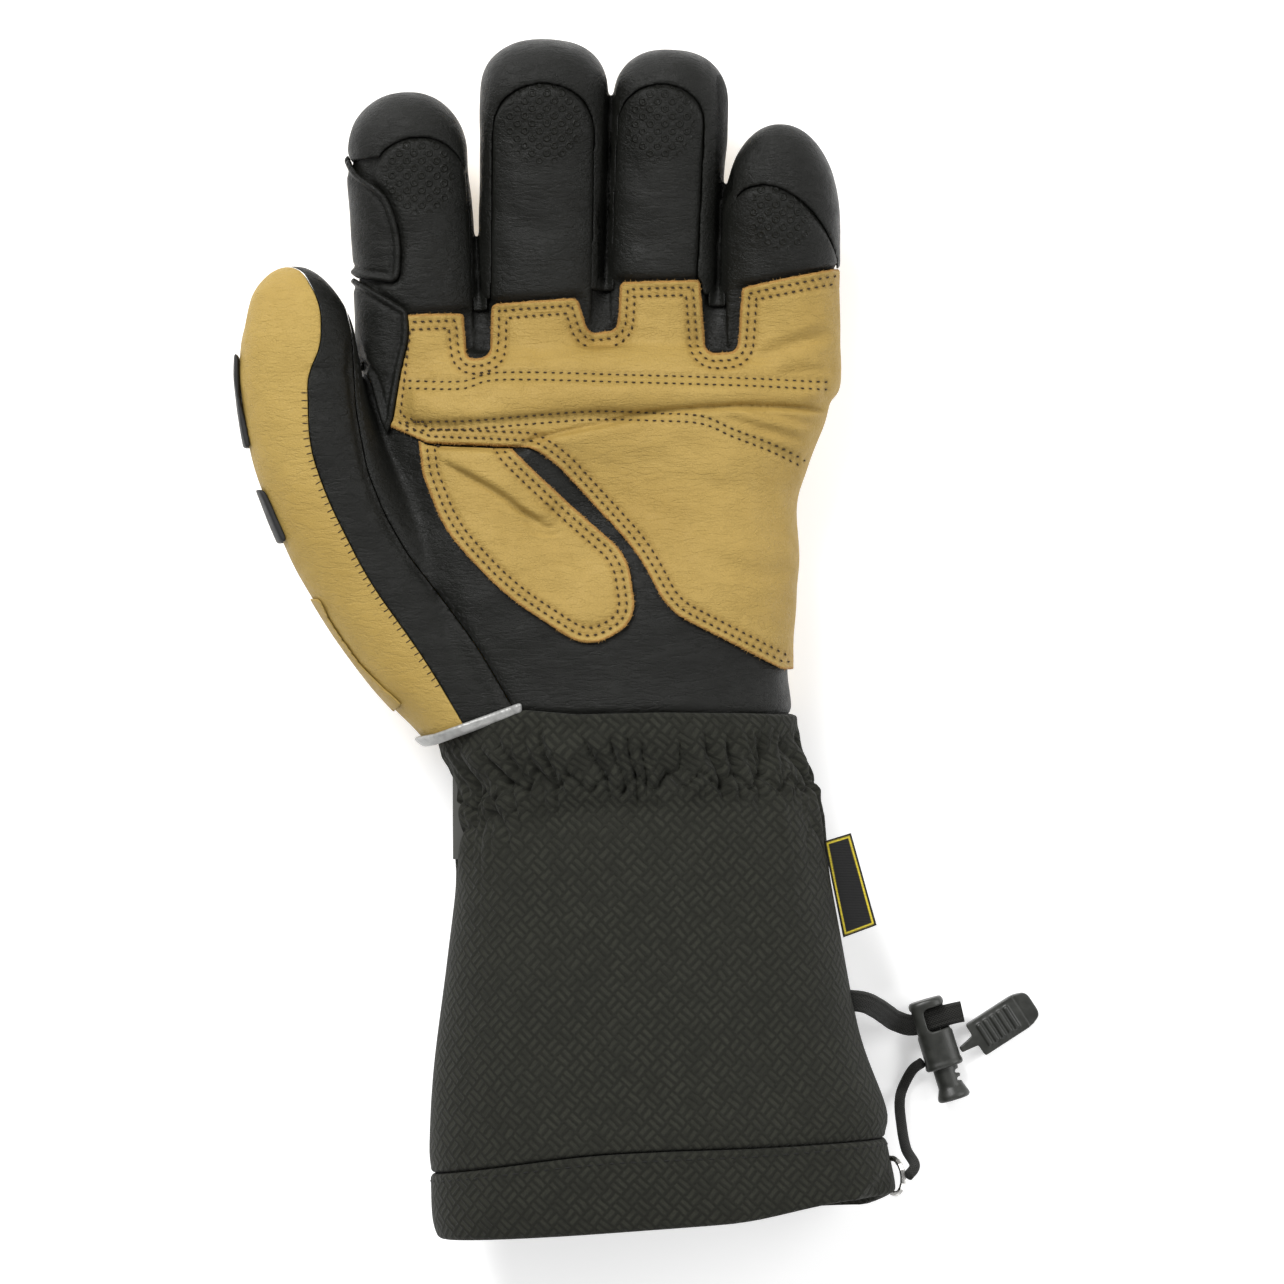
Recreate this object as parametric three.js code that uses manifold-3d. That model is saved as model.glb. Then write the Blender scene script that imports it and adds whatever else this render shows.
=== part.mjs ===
// Insulated work glove for the left hand, lying on its back with the palm up.
// Lengths are millimetres. X runs from the thumb to the little finger, Y from the cuff to the fingertips and
// Z up from the surface. The shapes are made round the middle of the wrist seam, and the finished group is
// moved so that its origin is the bottom centre of the glove without its cords.
import * as THREE from "three";
import { mergeVertices } from "three/addons/utils/BufferGeometryUtils.js";
import Module from "manifold-3d";

const wasm = await Module();
wasm.setup();

// Hand
const PALM_LENGTH = 108; // wrist seam to the finger roots
const PALM_WIDTH = 121; // across the knuckles
const PALM_DEPTH = 46;
const WRIST_WIDTH = 100.5;
const WRIST_DEPTH = 48;
const FINGER_LENGTH = 100; // middle finger, from inside the palm to its tip
const FINGER_WIDTH = 36;
const FINGER_DEPTH = 29;
const THUMB_LENGTH = 131; // wrist seam to the thumb's tip
const THUMB_REACH = 93; // how far the thumb stands out from the wrist's middle
const THUMB_WIDTH = 37;
const THUMB_DEPTH = 34;

// Cuff
const CUFF_LENGTH = 139;
const CUFF_WIDTH = 128;
const CUFF_DEPTH = 66;
const CUFF_TILT = 4.5; // degrees that the cuff leans towards the little finger
const HEM_HEIGHT = 19.7;
const PLEAT_DEPTH = 1.7;
const PLEAT_COUNT = 18;

// Materials' thicknesses and clearances
const HAND_WALL = 3.4; // leather, insulation and lining together
const CUFF_WALL = 2.8;
const OVERLAY = 1.4; // a reinforcement's leather
const GUARD = 1.4; // moulded thumb guard
const FIT = 0.3; // between pieces that are sewn to each other
const SKIN = OVERLAY + FIT; // from a reinforcement's outside to the shell
const SEAM_ALLOWANCE = 5; // from the side seam to a reinforcement's edge

// Trim and fastening
const PIPING_WIDTH = 2.6;
const LABEL = { width: 8.6, length: 27.5, thickness: 1 };
const SIDE_TAB = { proud: 1.5, length: 23, thickness: 9 };
const RING = { radius: 5, wire: 0.8 };
const DRAWCORD = { width: 6, thickness: 3, room: 0.7 };
const LEASH_WIDTH = 3;
const LOCK = { length: 20, width: 11, height: 9.6, bore: 3.9, cap: 1.4, cordOffset: 4 };
const PLUNGER = { footWidth: 9.4, stickOut: 9.5, travel: 4 };
const TAB = { length: 19.5, width: 10.4, thickness: 4.6, ribs: 5, tail: 5 };

// root is a share of the palm's width from the wrist's middle, length, base and end (widths) are shares of the
// middle finger's, lean is in degrees.
const FINGERS = [
  { name: "index", root: -0.462, length: 0.857, lean: -3.2, base: 0.97, end: 0.93 },
  { name: "middle", root: -0.18, length: 1, lean: 0.8, base: 0.93, end: 1.02 },
  { name: "ring", root: 0.089, length: 0.978, lean: 2.6, base: 0.81, end: 0.93 },
  { name: "little", root: 0.384, length: 0.765, lean: -0.6, base: 0.86, end: 0.87 },
];
// Their tips: dome is the rounded end as a share of the finger's width, power how square it is, rise how far
// the tip lies above the root, and left and right where the cap starts at either side, as shares of the length.
const FINGERTIPS = {
  index: { dome: 0.54, power: 2.2, rise: 0.1, left: 0.78, right: 0.27 },
  middle: { dome: 0.44, power: 2.6, rise: 0.1, left: 0.27, right: 0.3 },
  ring: { dome: 0.5, power: 2.4, rise: 0.08, left: 0.3, right: 0.3 },
  little: { dome: 0.8, power: 2.05, rise: 0.19, left: 0.33, right: 0.46 },
};
const ROOT_ALONG = 0.857; // share of the palm's length at which a finger's own form starts
const ROOT_HEIGHT = 0.46; // share of the palm's depth

// Sections of the palm: shares of its length, width and depth. wrist is how much a section follows the wrist's
// sizes in place of the palm's.
const PALM_ROWS = [
  { along: -0.2, left: -0.43, right: 0.43, top: 1, wrist: 1 },
  { along: 0.03, left: -0.43, right: 0.42, top: 1, wrist: 1 },
  { along: 0.15, left: -0.462, right: 0.404, top: 1.02, wrist: 0.3 },
  { along: 0.33, left: -0.505, right: 0.412, top: 1.02, wrist: 0 },
  { along: 0.58, left: -0.555, right: 0.415, top: 0.98, wrist: 0 },
  { along: 0.68, left: -0.568, right: 0.44, top: 0.97, wrist: 0 },
  { along: 0.74, left: -0.578, right: 0.462, top: 0.97, wrist: 0 },
  { along: 0.79, left: -0.586, right: 0.48, top: 0.96, wrist: 0 },
  { along: 0.89, left: -0.597, right: 0.495, top: 0.92, wrist: 0 },
  { along: 0.94, left: -0.6, right: 0.5, top: 0.86, wrist: 0 },
  { along: 0.985, left: -0.585, right: 0.5, top: 0.76, wrist: 0 },
];

// Mounds and hollows of the palm: middle and reach as shares of its width and length, height of its depth.
const PALM_RELIEF = [
  { name: "thumb mound", x: -0.4, y: 0.36, wide: 0.17, tall: 0.28, height: 0.1 },
  { name: "little finger mound", x: 0.26, y: 0.36, wide: 0.17, tall: 0.3, height: 0.05 },
  { name: "hollow of the palm", x: -0.04, y: 0.55, wide: 0.17, tall: 0.2, height: -0.1 },
  { name: "knuckle bar", x: 0, y: 0.85, wide: 0.5, tall: 0.05, height: 0.06 },
  { name: "crease below the bar", x: 0.24, y: 0.755, wide: 0.26, tall: 0.03, height: -0.06 },
];

// Sections of the thumb: out and along are shares of its reach and length, wide and deep of its width and
// depth, height of the palm's depth.
const THUMB_ROWS = [
  { out: 0.3, along: -0.1, wide: 1.22, deep: 1.12, height: 0.48 },
  { out: 0.43, along: 0.04, wide: 1.24, deep: 1.16, height: 0.52 },
  { out: 0.6, along: 0.2, wide: 1.2, deep: 1.12, height: 0.57 },
  { out: 0.74, along: 0.35, wide: 1.12, deep: 1.05, height: 0.63 },
  { out: 0.85, along: 0.49, wide: 1.08, deep: 1, height: 0.69 },
  { out: 0.92, along: 0.63, wide: 1.05, deep: 0.97, height: 0.73 },
  { out: 0.952, along: 0.76, wide: 1.01, deep: 0.94, height: 0.75 },
  { out: 0.958, along: 0.84, wide: 0.95, deep: 0.9, height: 0.76 },
  { out: 1, along: 1, wide: 0, deep: 0, height: 0.76 },
];
const THUMB_DOME = 0.75; // share of the thumb's width that its round end takes
const THUMB_POWER = 2.05;

// Sections of the cuff: shares of its length, width and depth. pleat is the share of the full pleat depth.
const CUFF_ROWS = [
  { along: -0.08, middle: -0.006, wide: 0.79, deep: 0.727, pleat: 0 },
  { along: 0.012, middle: 0, wide: 0.785, deep: 0.727, pleat: 0.12 },
  { along: 0.055, middle: 0.008, wide: 0.745, deep: 0.705, pleat: 0.7 },
  { along: 0.091, middle: 0.02, wide: 0.73, deep: 0.69, pleat: 1 },
  { along: 0.13, middle: 0.022, wide: 0.745, deep: 0.7, pleat: 0.9 },
  { along: 0.165, middle: 0.023, wide: 0.758, deep: 0.7, pleat: 1 },
  { along: 0.218, middle: 0.024, wide: 0.782, deep: 0.74, pleat: 0.55 },
  { along: 0.3, middle: 0.024, wide: 0.808, deep: 0.78, pleat: 0.25 },
  { along: 0.45, middle: 0.018, wide: 0.856, deep: 0.85, pleat: 0.08 },
  { along: 0.65, middle: 0.01, wide: 0.926, deep: 0.93, pleat: 0 },
  { along: 0.8, middle: 0.022, wide: 0.992, deep: 0.99, pleat: 0 },
  { along: 0.857, middle: 0.018, wide: 0.985, deep: 1, pleat: 0 },
  { along: 0.95, middle: 0.022, wide: 1, deep: 1, pleat: 0 },
  { along: 1, middle: 0.026, wide: 0.98, deep: 0.98, pleat: 0 },
];

// Outlines, seen from above. x and y are shares of the palm's width and length, and round is a corner's
// fillet as a share of the palm's width.
const PALM_PATCH = [
  { x: -0.51, y: 1.07, round: 0.003 },
  { x: -0.356, y: 1.076, round: 0.008 },
  { x: -0.347, y: 0.954, round: 0.02 },
  { x: -0.296, y: 0.962, round: 0.02 },
  { x: -0.292, y: 1.099, round: 0.01 },
  { x: -0.093, y: 1.115, round: 0.012 },
  { x: -0.067, y: 1.024, round: 0.02 },
  { x: -0.002, y: 1.034, round: 0.02 },
  { x: 0.005, y: 1.156, round: 0.01 },
  { x: 0.19, y: 1.162, round: 0.01 },
  { x: 0.204, y: 0.97, round: 0.022 },
  { x: 0.275, y: 0.975, round: 0.022 },
  { x: 0.285, y: 1.141, round: 0.01 },
  { x: 0.56, y: 1.205, round: 0 },
  { x: 0.6, y: 0.17, round: 0 },
  { x: 0.38, y: 0.153, round: 0.01 },
  { x: 0.116, y: 0.303, round: 0.05 },
  { x: 0.042, y: 0.459, round: 0.06 },
  { x: -0.141, y: 0.682, round: 0.03 },
  { x: -0.197, y: 0.723, round: 0.012 },
  { x: -0.435, y: 0.735, round: 0.008 },
  { x: -0.54, y: 0.788, round: 0.003 },
];
const THUMB_WEB_PATCH = [
  { x: -0.462, y: 0.77, round: 0.004 },
  { x: -0.449, y: 0.656, round: 0.012 },
  { x: -0.398, y: 0.511, round: 0.06 },
  { x: -0.262, y: 0.345, round: 0.09 },
  { x: -0.069, y: 0.205, round: 0.08 },
  { x: 0.046, y: 0.277, round: 0.06 },
  { x: 0.023, y: 0.45, round: 0.05 },
  { x: -0.1, y: 0.57, round: 0.03 },
  { x: -0.205, y: 0.68, round: 0.03 },
  { x: -0.245, y: 0.725, round: 0.01 },
  { x: -0.245, y: 0.77, round: 0 },
];
const INDEX_PATCH_UPPER = [
  { x: -0.72, y: 1.55, round: 0 },
  { x: -0.634, y: 1.51, round: 0.005 },
  { x: -0.606, y: 1.435, round: 0.03 },
  { x: -0.532, y: 1.38, round: 0.04 },
  { x: -0.5, y: 1.268, round: 0.05 },
  { x: -0.505, y: 1.151, round: 0.03 },
  { x: -0.6, y: 1.168, round: 0.03 },
  { x: -0.72, y: 1.256, round: 0 },
];
const INDEX_PATCH_LOWER = [
  { x: -0.72, y: 1.252, round: 0 },
  { x: -0.602, y: 1.16, round: 0.03 },
  { x: -0.537, y: 1.115, round: 0.02 },
  { x: -0.486, y: 1.08, round: 0.012 },
  { x: -0.483, y: 1.011, round: 0.03 },
  { x: -0.502, y: 0.928, round: 0.05 },
  { x: -0.52, y: 0.8, round: 0.03 },
  { x: -0.532, y: 0.765, round: 0.005 },
  { x: -0.546, y: 0.8, round: 0.01 },
  { x: -0.575, y: 0.92, round: 0.03 },
  { x: -0.72, y: 1, round: 0 },
];
// The black leather of the thumb's palm side, up to the seam that runs from the crotch down to the wrist.
const THUMB_GUSSET = [
  { x: -0.613, y: 1.019, round: 0 },
  { x: -0.63, y: 1.1, round: 0 },
  { x: -0.67, y: 1.3, round: 0 },
  { x: -0.67, y: 1.6, round: 0 },
  { x: -1.2, y: 1.6, round: 0 },
  { x: -1.2, y: -0.3, round: 0 },
  { x: -0.222, y: -0.3, round: 0 },
  { x: -0.222, y: 0.02, round: 0 },
  { x: -0.322, y: 0.21, round: 0.03 },
  { x: -0.384, y: 0.306, round: 0.03 },
  { x: -0.484, y: 0.451, round: 0.03 },
  { x: -0.537, y: 0.555, round: 0.03 },
  { x: -0.576, y: 0.666, round: 0.03 },
  { x: -0.602, y: 0.822, round: 0.03 },
];
// The same, in shares of the thumb's reach and length.
const THUMB_PANEL = [
  { x: -1.03, y: 0.985, round: 0.01 },
  { x: -0.95, y: 0.98, round: 0.06 },
  { x: -0.885, y: 0.9, round: 0.06 },
  { x: -0.885, y: 0.81, round: 0.06 },
  { x: -0.925, y: 0.75, round: 0.06 },
  { x: -0.92, y: 0.6, round: 0.08 },
  { x: -0.867, y: 0.489, round: 0.1 },
  { x: -0.747, y: 0.318, round: 0.1 },
  { x: -0.596, y: 0.147, round: 0.1 },
  { x: -0.42, y: -0.1, round: 0 },
  { x: -1.4, y: -0.1, round: 0 },
  { x: -1.4, y: 1.1, round: 0 },
  { x: -1.08, y: 1.1, round: 0 },
];
const THUMB_GUARD_UPPER = [
  { x: -1.3, y: 0.81, round: 0 },
  { x: -1.135, y: 0.8, round: 0.02 },
  { x: -1.13, y: 0.7, round: 0.02 },
  { x: -1.09, y: 0.6, round: 0.02 },
  { x: -1.3, y: 0.58, round: 0 },
];
const THUMB_GUARD_LOWER = [
  { x: -1.3, y: 0.52, round: 0 },
  { x: -1.055, y: 0.51, round: 0.02 },
  { x: -0.985, y: 0.4, round: 0.02 },
  { x: -1.25, y: 0.36, round: 0 },
];
const THUMB_BASE_PATCH = [
  { x: -1.1, y: 0.285, round: 0 },
  { x: -0.89, y: 0.28, round: 0.02 },
  { x: -0.862, y: 0.23, round: 0.03 },
  { x: -0.77, y: 0.135, round: 0.05 },
  { x: -0.64, y: 0.05, round: 0.02 },
  { x: -0.9, y: -0.05, round: 0 },
];
// Where the hand is sewn to the cuff, from the thumb's side to the little finger's.
const WRIST_LINE = [
  { x: -0.7, y: -0.1 },
  { x: -0.42, y: -0.04 },
  { x: -0.222, y: 0.041 },
  { x: -0.1, y: 0.03 },
  { x: 0.1, y: 0.036 },
  { x: 0.3, y: 0.034 },
  { x: 0.7, y: 0.02 },
];
const PIPING_END = -0.222; // share of the palm's width at which the piping stops

// Height of the seam between palm and back: along from the wrist in palm lengths, height in palm depths.
const SEAM_ROWS = [
  { along: -0.3, height: 0.3 },
  { along: 0.86, height: 0.32 },
  { along: 1.25, height: 0.4 },
  { along: 1.9, height: 0.6 },
];

const FINGER_COUNT = { outside: 14, lining: 8 }; // points round a finger
const PALM_COUNT = { outside: 22, lining: 14 };
const HEM_COUNT = 28;
const PLEAT_POINTS = PLEAT_COUNT * 3;
const DEG = Math.PI / 180;
const FAR = 400;

const mix = (a, b, t) => a + (b - a) * t;
const power = (v, p) => Math.sign(v) * Math.abs(v) ** p;

// The solid of a closed three.js geometry.
function solidOf(geometry) {
  const bare = geometry.clone();
  bare.deleteAttribute("normal");
  bare.deleteAttribute("uv");
  const merged = mergeVertices(bare, 1e-4);
  return new wasm.Manifold(
    new wasm.Mesh({
      numProp: 3,
      vertProperties: new Float32Array(merged.attributes.position.array),
      triVerts: new Uint32Array(merged.index.array),
    }),
  );
}

function geometryOf(solid) {
  const mesh = solid.getMesh();
  return new THREE.BufferGeometry()
    .setAttribute("position", new THREE.BufferAttribute(mesh.vertProperties, 3))
    .setIndex(new THREE.BufferAttribute(mesh.triVerts, 1))
    .toNonIndexed();
}

// A closed solid through rings of points, all with the same count, with a fan over each end.
function loft(rings) {
  const count = rings[0].length;
  const points = rings.flat();
  for (const end of [rings[0], rings[rings.length - 1]])
    points.push(end.reduce((sum, p) => sum.add(p), new THREE.Vector3()).divideScalar(count));
  const triangles = [];
  for (let r = 0; r + 1 < rings.length; r++)
    for (let i = 0; i < count; i++) {
      const a = r * count + i;
      const b = r * count + ((i + 1) % count);
      triangles.push(a, b, b + count, a, b + count, a + count);
    }
  const last = (rings.length - 1) * count;
  for (let i = 0; i < count; i++) {
    const next = (i + 1) % count;
    triangles.push(points.length - 2, next, i, points.length - 1, last + i, last + next);
  }
  const geometry = new THREE.BufferGeometry().setFromPoints(points).setIndex(triangles);
  const made = solidOf(geometry);
  if (made.volume() > 0) return made;
  for (let i = 0; i < triangles.length; i += 3)
    [triangles[i + 1], triangles[i + 2]] = [triangles[i + 2], triangles[i + 1]];
  return solidOf(geometry.setIndex(triangles));
}

// Points of an oval ring round a middle: side and up are unit vectors, low and high its reach down and up.
function ovalRing({ middle, side, up, half, low, high, boxy = 2.3, flat = 2.3, count, shape }) {
  return Array.from({ length: count }, (_, i) => {
    const turn = (i / count) * 2 * Math.PI;
    const exponent = 2 / (Math.sin(turn) < 0 ? flat : boxy);
    const across = half * power(Math.cos(turn), exponent);
    const upward = (Math.sin(turn) < 0 ? low : high) * power(Math.sin(turn), exponent);
    const point = middle.clone().addScaledVector(side, across).addScaledVector(up, upward);
    return shape ? shape(point, turn) : point;
  });
}

const BOX_X = new THREE.Vector3(1, 0, 0);
const BOX_Z = new THREE.Vector3(0, 0, 1);

// A lining's form, inside the shell's outer surface, is rounded more coarsely.
const countAt = (counts, grow) => (grow < -SKIN ? counts.lining : counts.outside);

function relief(x, y) {
  return PALM_RELIEF.reduce((sum, r) => {
    const across = (x / PALM_WIDTH - r.x) / r.wide;
    const along = (y / PALM_LENGTH - r.y) / r.tall;
    return sum + r.height * PALM_DEPTH * Math.exp(-across * across - along * along);
  }, 0);
}

// The palm without fingers or thumb. grow is how far its surface lies outside the reinforcements' outside.
function palmForm(grow) {
  return loft(
    PALM_ROWS.map((row, i) => {
      const end = i === PALM_ROWS.length - 1 ? grow : 0;
      const left = mix(row.left * PALM_WIDTH, -WRIST_WIDTH / 2, row.wrist) - grow;
      const right = mix(row.right * PALM_WIDTH, WRIST_WIDTH / 2, row.wrist) + grow;
      const depth = mix(row.top * PALM_DEPTH, WRIST_DEPTH, row.wrist) + 1;
      const bottom = i === PALM_ROWS.length - 1 ? 0.2 * depth : 0;
      const high = (depth - bottom) / 2 + grow;
      const y = row.along * PALM_LENGTH + end;
      return ovalRing({
        middle: new THREE.Vector3((left + right) / 2, y, (depth + bottom) / 2 - 1),
        side: BOX_X,
        up: BOX_Z,
        half: (right - left) / 2,
        low: high + SKIN,
        high,
        boxy: 2.5,
        flat: 3,
        count: countAt(PALM_COUNT, grow),
        shape: (p, turn) => p.setZ(p.z + Math.max(0, Math.sin(turn)) * relief(p.x, p.y)),
      });
    }),
  );
}

// Where a finger runs: its root, its length, and its middle line at a share of that length.
function fingerLine(f) {
  const length = f.length * FINGER_LENGTH;
  const { rise } = FINGERTIPS[f.name];
  const root = new THREE.Vector3(f.root * PALM_WIDTH, ROOT_ALONG * PALM_LENGTH, ROOT_HEIGHT * PALM_DEPTH);
  const side = new THREE.Vector3(Math.cos(f.lean * DEG), -Math.sin(f.lean * DEG), 0);
  const forward = new THREE.Vector3(Math.sin(f.lean * DEG), Math.cos(f.lean * DEG), 0);
  const at = (t) =>
    root
      .clone()
      .addScaledVector(forward, t * length)
      .setZ(root.z + rise * length * t * t);
  return { length, root, side, forward, at };
}

const DOME_TURNS = [0, 28, 50, 68, 83];

function fingerForm(f, grow) {
  const { length, side, forward, at } = fingerLine(f);
  const tip = FINGERTIPS[f.name];
  const base = (f.base * FINGER_WIDTH) / 2;
  const end = (f.end * FINGER_WIDTH) / 2;
  const dome = tip.dome * f.end * FINGER_WIDTH;
  const steps = [
    { t: -grow / length, shrink: 0.94 },
    { t: 0.32, shrink: 1 },
    { t: 0.6, shrink: 1 },
  ].concat(
      DOME_TURNS.map((turn) => ({
        t: 1 + (grow - (dome + grow) * (1 - Math.sin(turn * DEG) ** (2 / tip.power))) / length,
        shrink: Math.cos(turn * DEG) ** (2 / tip.power),
      })),
    );
  return loft(
    steps.map(({ t, shrink }) => {
      const up = new THREE.Vector3().crossVectors(
        side,
        forward.clone().setZ(2 * tip.rise * Math.min(t, 1)).normalize(),
      );
      const half = (mix(base, end, t) + grow) * shrink;
      const deep = ((mix(base, end, t) * FINGER_DEPTH) / FINGER_WIDTH + grow) * shrink;
      return ovalRing({ middle: at(t), side, up, half, low: deep, high: deep, count: countAt(FINGER_COUNT, grow) });
    }),
  );
}

function thumbForm(grow) {
  const spine = THUMB_ROWS.map(
    (r) => new THREE.Vector3(-THUMB_REACH * r.out, THUMB_LENGTH * r.along, PALM_DEPTH * r.height),
  );
  const rows = THUMB_ROWS.slice(0, -1).map((row, i) => ({
    middle: i === 0 ? spine[0].clone().setY(spine[0].y - grow) : spine[i],
    half: (row.wide * THUMB_WIDTH) / 2 + grow,
    deep: (row.deep * THUMB_DEPTH) / 2 + grow,
    ahead: spine[i + 1].clone().sub(spine[Math.max(0, i - 1)]).normalize(),
  }));
  const tip = spine[spine.length - 1];
  const full = rows[rows.length - 1];
  const dome = THUMB_DOME * THUMB_WIDTH + grow;
  const toTip = tip.clone().sub(full.middle).normalize();
  for (const turn of DOME_TURNS.slice(1)) {
    const back = dome * (1 - Math.sin(turn * DEG) ** (2 / THUMB_POWER)) - grow;
    const shrink = Math.cos(turn * DEG) ** (2 / THUMB_POWER);
    rows.push({
      middle: tip.clone().addScaledVector(toTip, -back),
      half: full.half * shrink,
      deep: full.deep * shrink,
      ahead: toTip,
    });
  }
  return loft(
    rows.map(({ middle, half, deep, ahead }) => {
      const side = new THREE.Vector3().crossVectors(ahead, BOX_Z).normalize();
      const up = new THREE.Vector3().crossVectors(side, ahead);
      return ovalRing({ middle, side, up, half, low: deep, high: deep, count: countAt(FINGER_COUNT, grow) });
    }),
  );
}

const mittForm = (grow) => FINGERS.reduce((sum, f) => sum.add(fingerForm(f, grow)), palmForm(grow));

const forms = new Map();
// The whole hand's form, grown from the reinforcements' outside, not yet cut off at the wrist.
function handForm(grow) {
  if (!forms.has(grow)) forms.set(grow, mittForm(grow).add(thumbForm(grow)));
  return forms.get(grow);
}

const cuffTurn = new THREE.Matrix4().makeRotationZ(CUFF_TILT * DEG);

// The cuff's row at a share of its length, between the table's rows.
function cuffRow(along) {
  const next = Math.max(1, CUFF_ROWS.findIndex((r) => r.along >= along));
  const [a, b] = [CUFF_ROWS[next - 1], CUFF_ROWS[next]];
  const t = (along - a.along) / (b.along - a.along);
  const between = (key) => mix(a[key], b[key], t);
  return { along, middle: between("middle"), wide: between("wide"), deep: between("deep"), pleat: between("pleat") };
}

// The wrist's sizes carry the top rows of the cuff, and the cuff's own sizes the rest.
function cuffRing(row, grow, count) {
  const wrist = THREE.MathUtils.clamp(1 - row.along / 0.2, 0, 1);
  const pleated = count === PLEAT_POINTS;
  const tuck = grow - (pleated ? 0 : 0.6 * row.pleat * PLEAT_DEPTH);
  const half = mix((row.wide * CUFF_WIDTH) / 2, (row.wide / 0.785) * (WRIST_WIDTH / 2), wrist) + tuck;
  const depth = mix(row.deep * CUFF_DEPTH, (row.deep / 0.727) * WRIST_DEPTH, wrist) + 1;
  return ovalRing({
    middle: new THREE.Vector3(row.middle * CUFF_WIDTH, -row.along * CUFF_LENGTH, depth / 2 - 1),
    side: BOX_X,
    up: BOX_Z,
    half,
    low: depth / 2 + tuck,
    high: depth / 2 + tuck,
    boxy: 2.3,
    flat: 2.8,
    count,
    shape: (p, turn) => {
      const wave = pleated ? Math.cos(turn * PLEAT_COUNT + 0.8 * Math.sin(3 * turn)) - 0.3 : 0;
      const lift = row.pleat * PLEAT_DEPTH * wave;
      p.x += lift * Math.cos(turn);
      p.z += lift * Math.sin(turn);
      return p.applyMatrix4(cuffTurn);
    },
  });
}

function cuffForm(grow, count) {
  return loft(CUFF_ROWS.map((row) => cuffRing(row, grow, count)));
}

// A line through an outline's rows, each corner rounded by its own fillet, as points, grown outwards by grow.
function outlinePoints(rows, width, length, grow = 0) {
  const corners = rows.map((r) => new THREE.Vector2(r.x * width, r.y * length));
  const path = new THREE.Path();
  corners.forEach((corner, i) => {
    const before = corners[(i + corners.length - 1) % corners.length].clone().sub(corner);
    const after = corners[(i + 1) % corners.length].clone().sub(corner);
    const radius = Math.min(rows[i].round * width, before.length() * 0.45, after.length() * 0.45);
    const start = corner.clone().addScaledVector(before.normalize(), radius);
    const stop = corner.clone().addScaledVector(after.normalize(), radius);
    if (i === 0) path.moveTo(start.x, start.y);
    else path.lineTo(start.x, start.y);
    if (radius > 0) path.quadraticCurveTo(corner.x, corner.y, stop.x, stop.y);
  });
  const curveSteps = 4;
  const line = path.getPoints(curveSteps);
  const clockwise = THREE.ShapeUtils.isClockWise(line) ? 1 : -1;
  return line.map((p, i) => {
    const ahead = line[(i + 1) % line.length].clone().sub(line[(i + line.length - 1) % line.length]).normalize();
    return new THREE.Vector2(p.x - ahead.y * grow * clockwise, p.y + ahead.x * grow * clockwise);
  });
}

// An upright solid over an outline of points, from one height to another.
function prism(points, low = -FAR, high = FAR) {
  const corners = points.filter((p, i) => p.distanceTo(points[(i + 1) % points.length]) > 1e-3);
  const geometry = new THREE.ExtrudeGeometry(new THREE.Shape(corners), { depth: high - low, bevelEnabled: false });
  return solidOf(geometry.translate(0, 0, low));
}

const onPalm = (rows, grow) => prism(outlinePoints(rows, PALM_WIDTH, PALM_LENGTH, grow));
const onThumb = (rows, grow) => prism(outlinePoints(rows, THUMB_REACH, THUMB_LENGTH, grow));

// The ground that the glove lies on flattens whatever would reach below it.
const aboveGround = solidOf(new THREE.BoxGeometry(FAR * 2, FAR * 2, FAR).translate(0, 0, FAR / 2));

// All that lies below the seam between palm and back, raised by lift.
function belowSeam(lift = 0) {
  const points = SEAM_ROWS.map((r) => new THREE.Vector2(r.along * PALM_LENGTH, r.height * PALM_DEPTH + lift));
  points.push(new THREE.Vector2(points[points.length - 1].x, -FAR), new THREE.Vector2(points[0].x, -FAR));
  const geometry = new THREE.ExtrudeGeometry(new THREE.Shape(points), { depth: FAR, bevelEnabled: false });
  geometry.translate(0, 0, -FAR / 2);
  geometry.applyMatrix4(new THREE.Matrix4().makeBasis(new THREE.Vector3(0, 1, 0), BOX_Z, BOX_X));
  return solidOf(geometry);
}

// All on the hand's side of the wrist seam, moved away from the cuff by back.
function handSide(back = 0) {
  const line = WRIST_LINE.map((r) => new THREE.Vector2(r.x * PALM_WIDTH, r.y * PALM_LENGTH + back));
  return prism([...line, new THREE.Vector2(FAR, FAR), new THREE.Vector2(-FAR, FAR)]);
}

const overlaySkin = handForm(0).subtract(handForm(-OVERLAY));
const mittSkin = mittForm(0).subtract(mittForm(-OVERLAY)).subtract(thumbForm(FIT));

function handPieces() {
  const shell = handForm(-SKIN)
    .subtract(handForm(-SKIN - HAND_WALL))
    .intersect(aboveGround)
    .intersect(handSide(FIT));
  const panel = onThumb(THUMB_PANEL, 0);
  const beyondPanel = onThumb(THUMB_PANEL, FIT);
  const palmSide = shell.subtract(belowSeam(FIT)).subtract(beyondPanel);
  return {
    hand_palm: palmSide.subtract(onPalm(THUMB_GUSSET, FIT)),
    thumb_gusset: palmSide.intersect(onPalm(THUMB_GUSSET, 0)),
    hand_back: shell.intersect(belowSeam()).subtract(beyondPanel),
    thumb_panel: shell.intersect(panel),
  };
}

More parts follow.
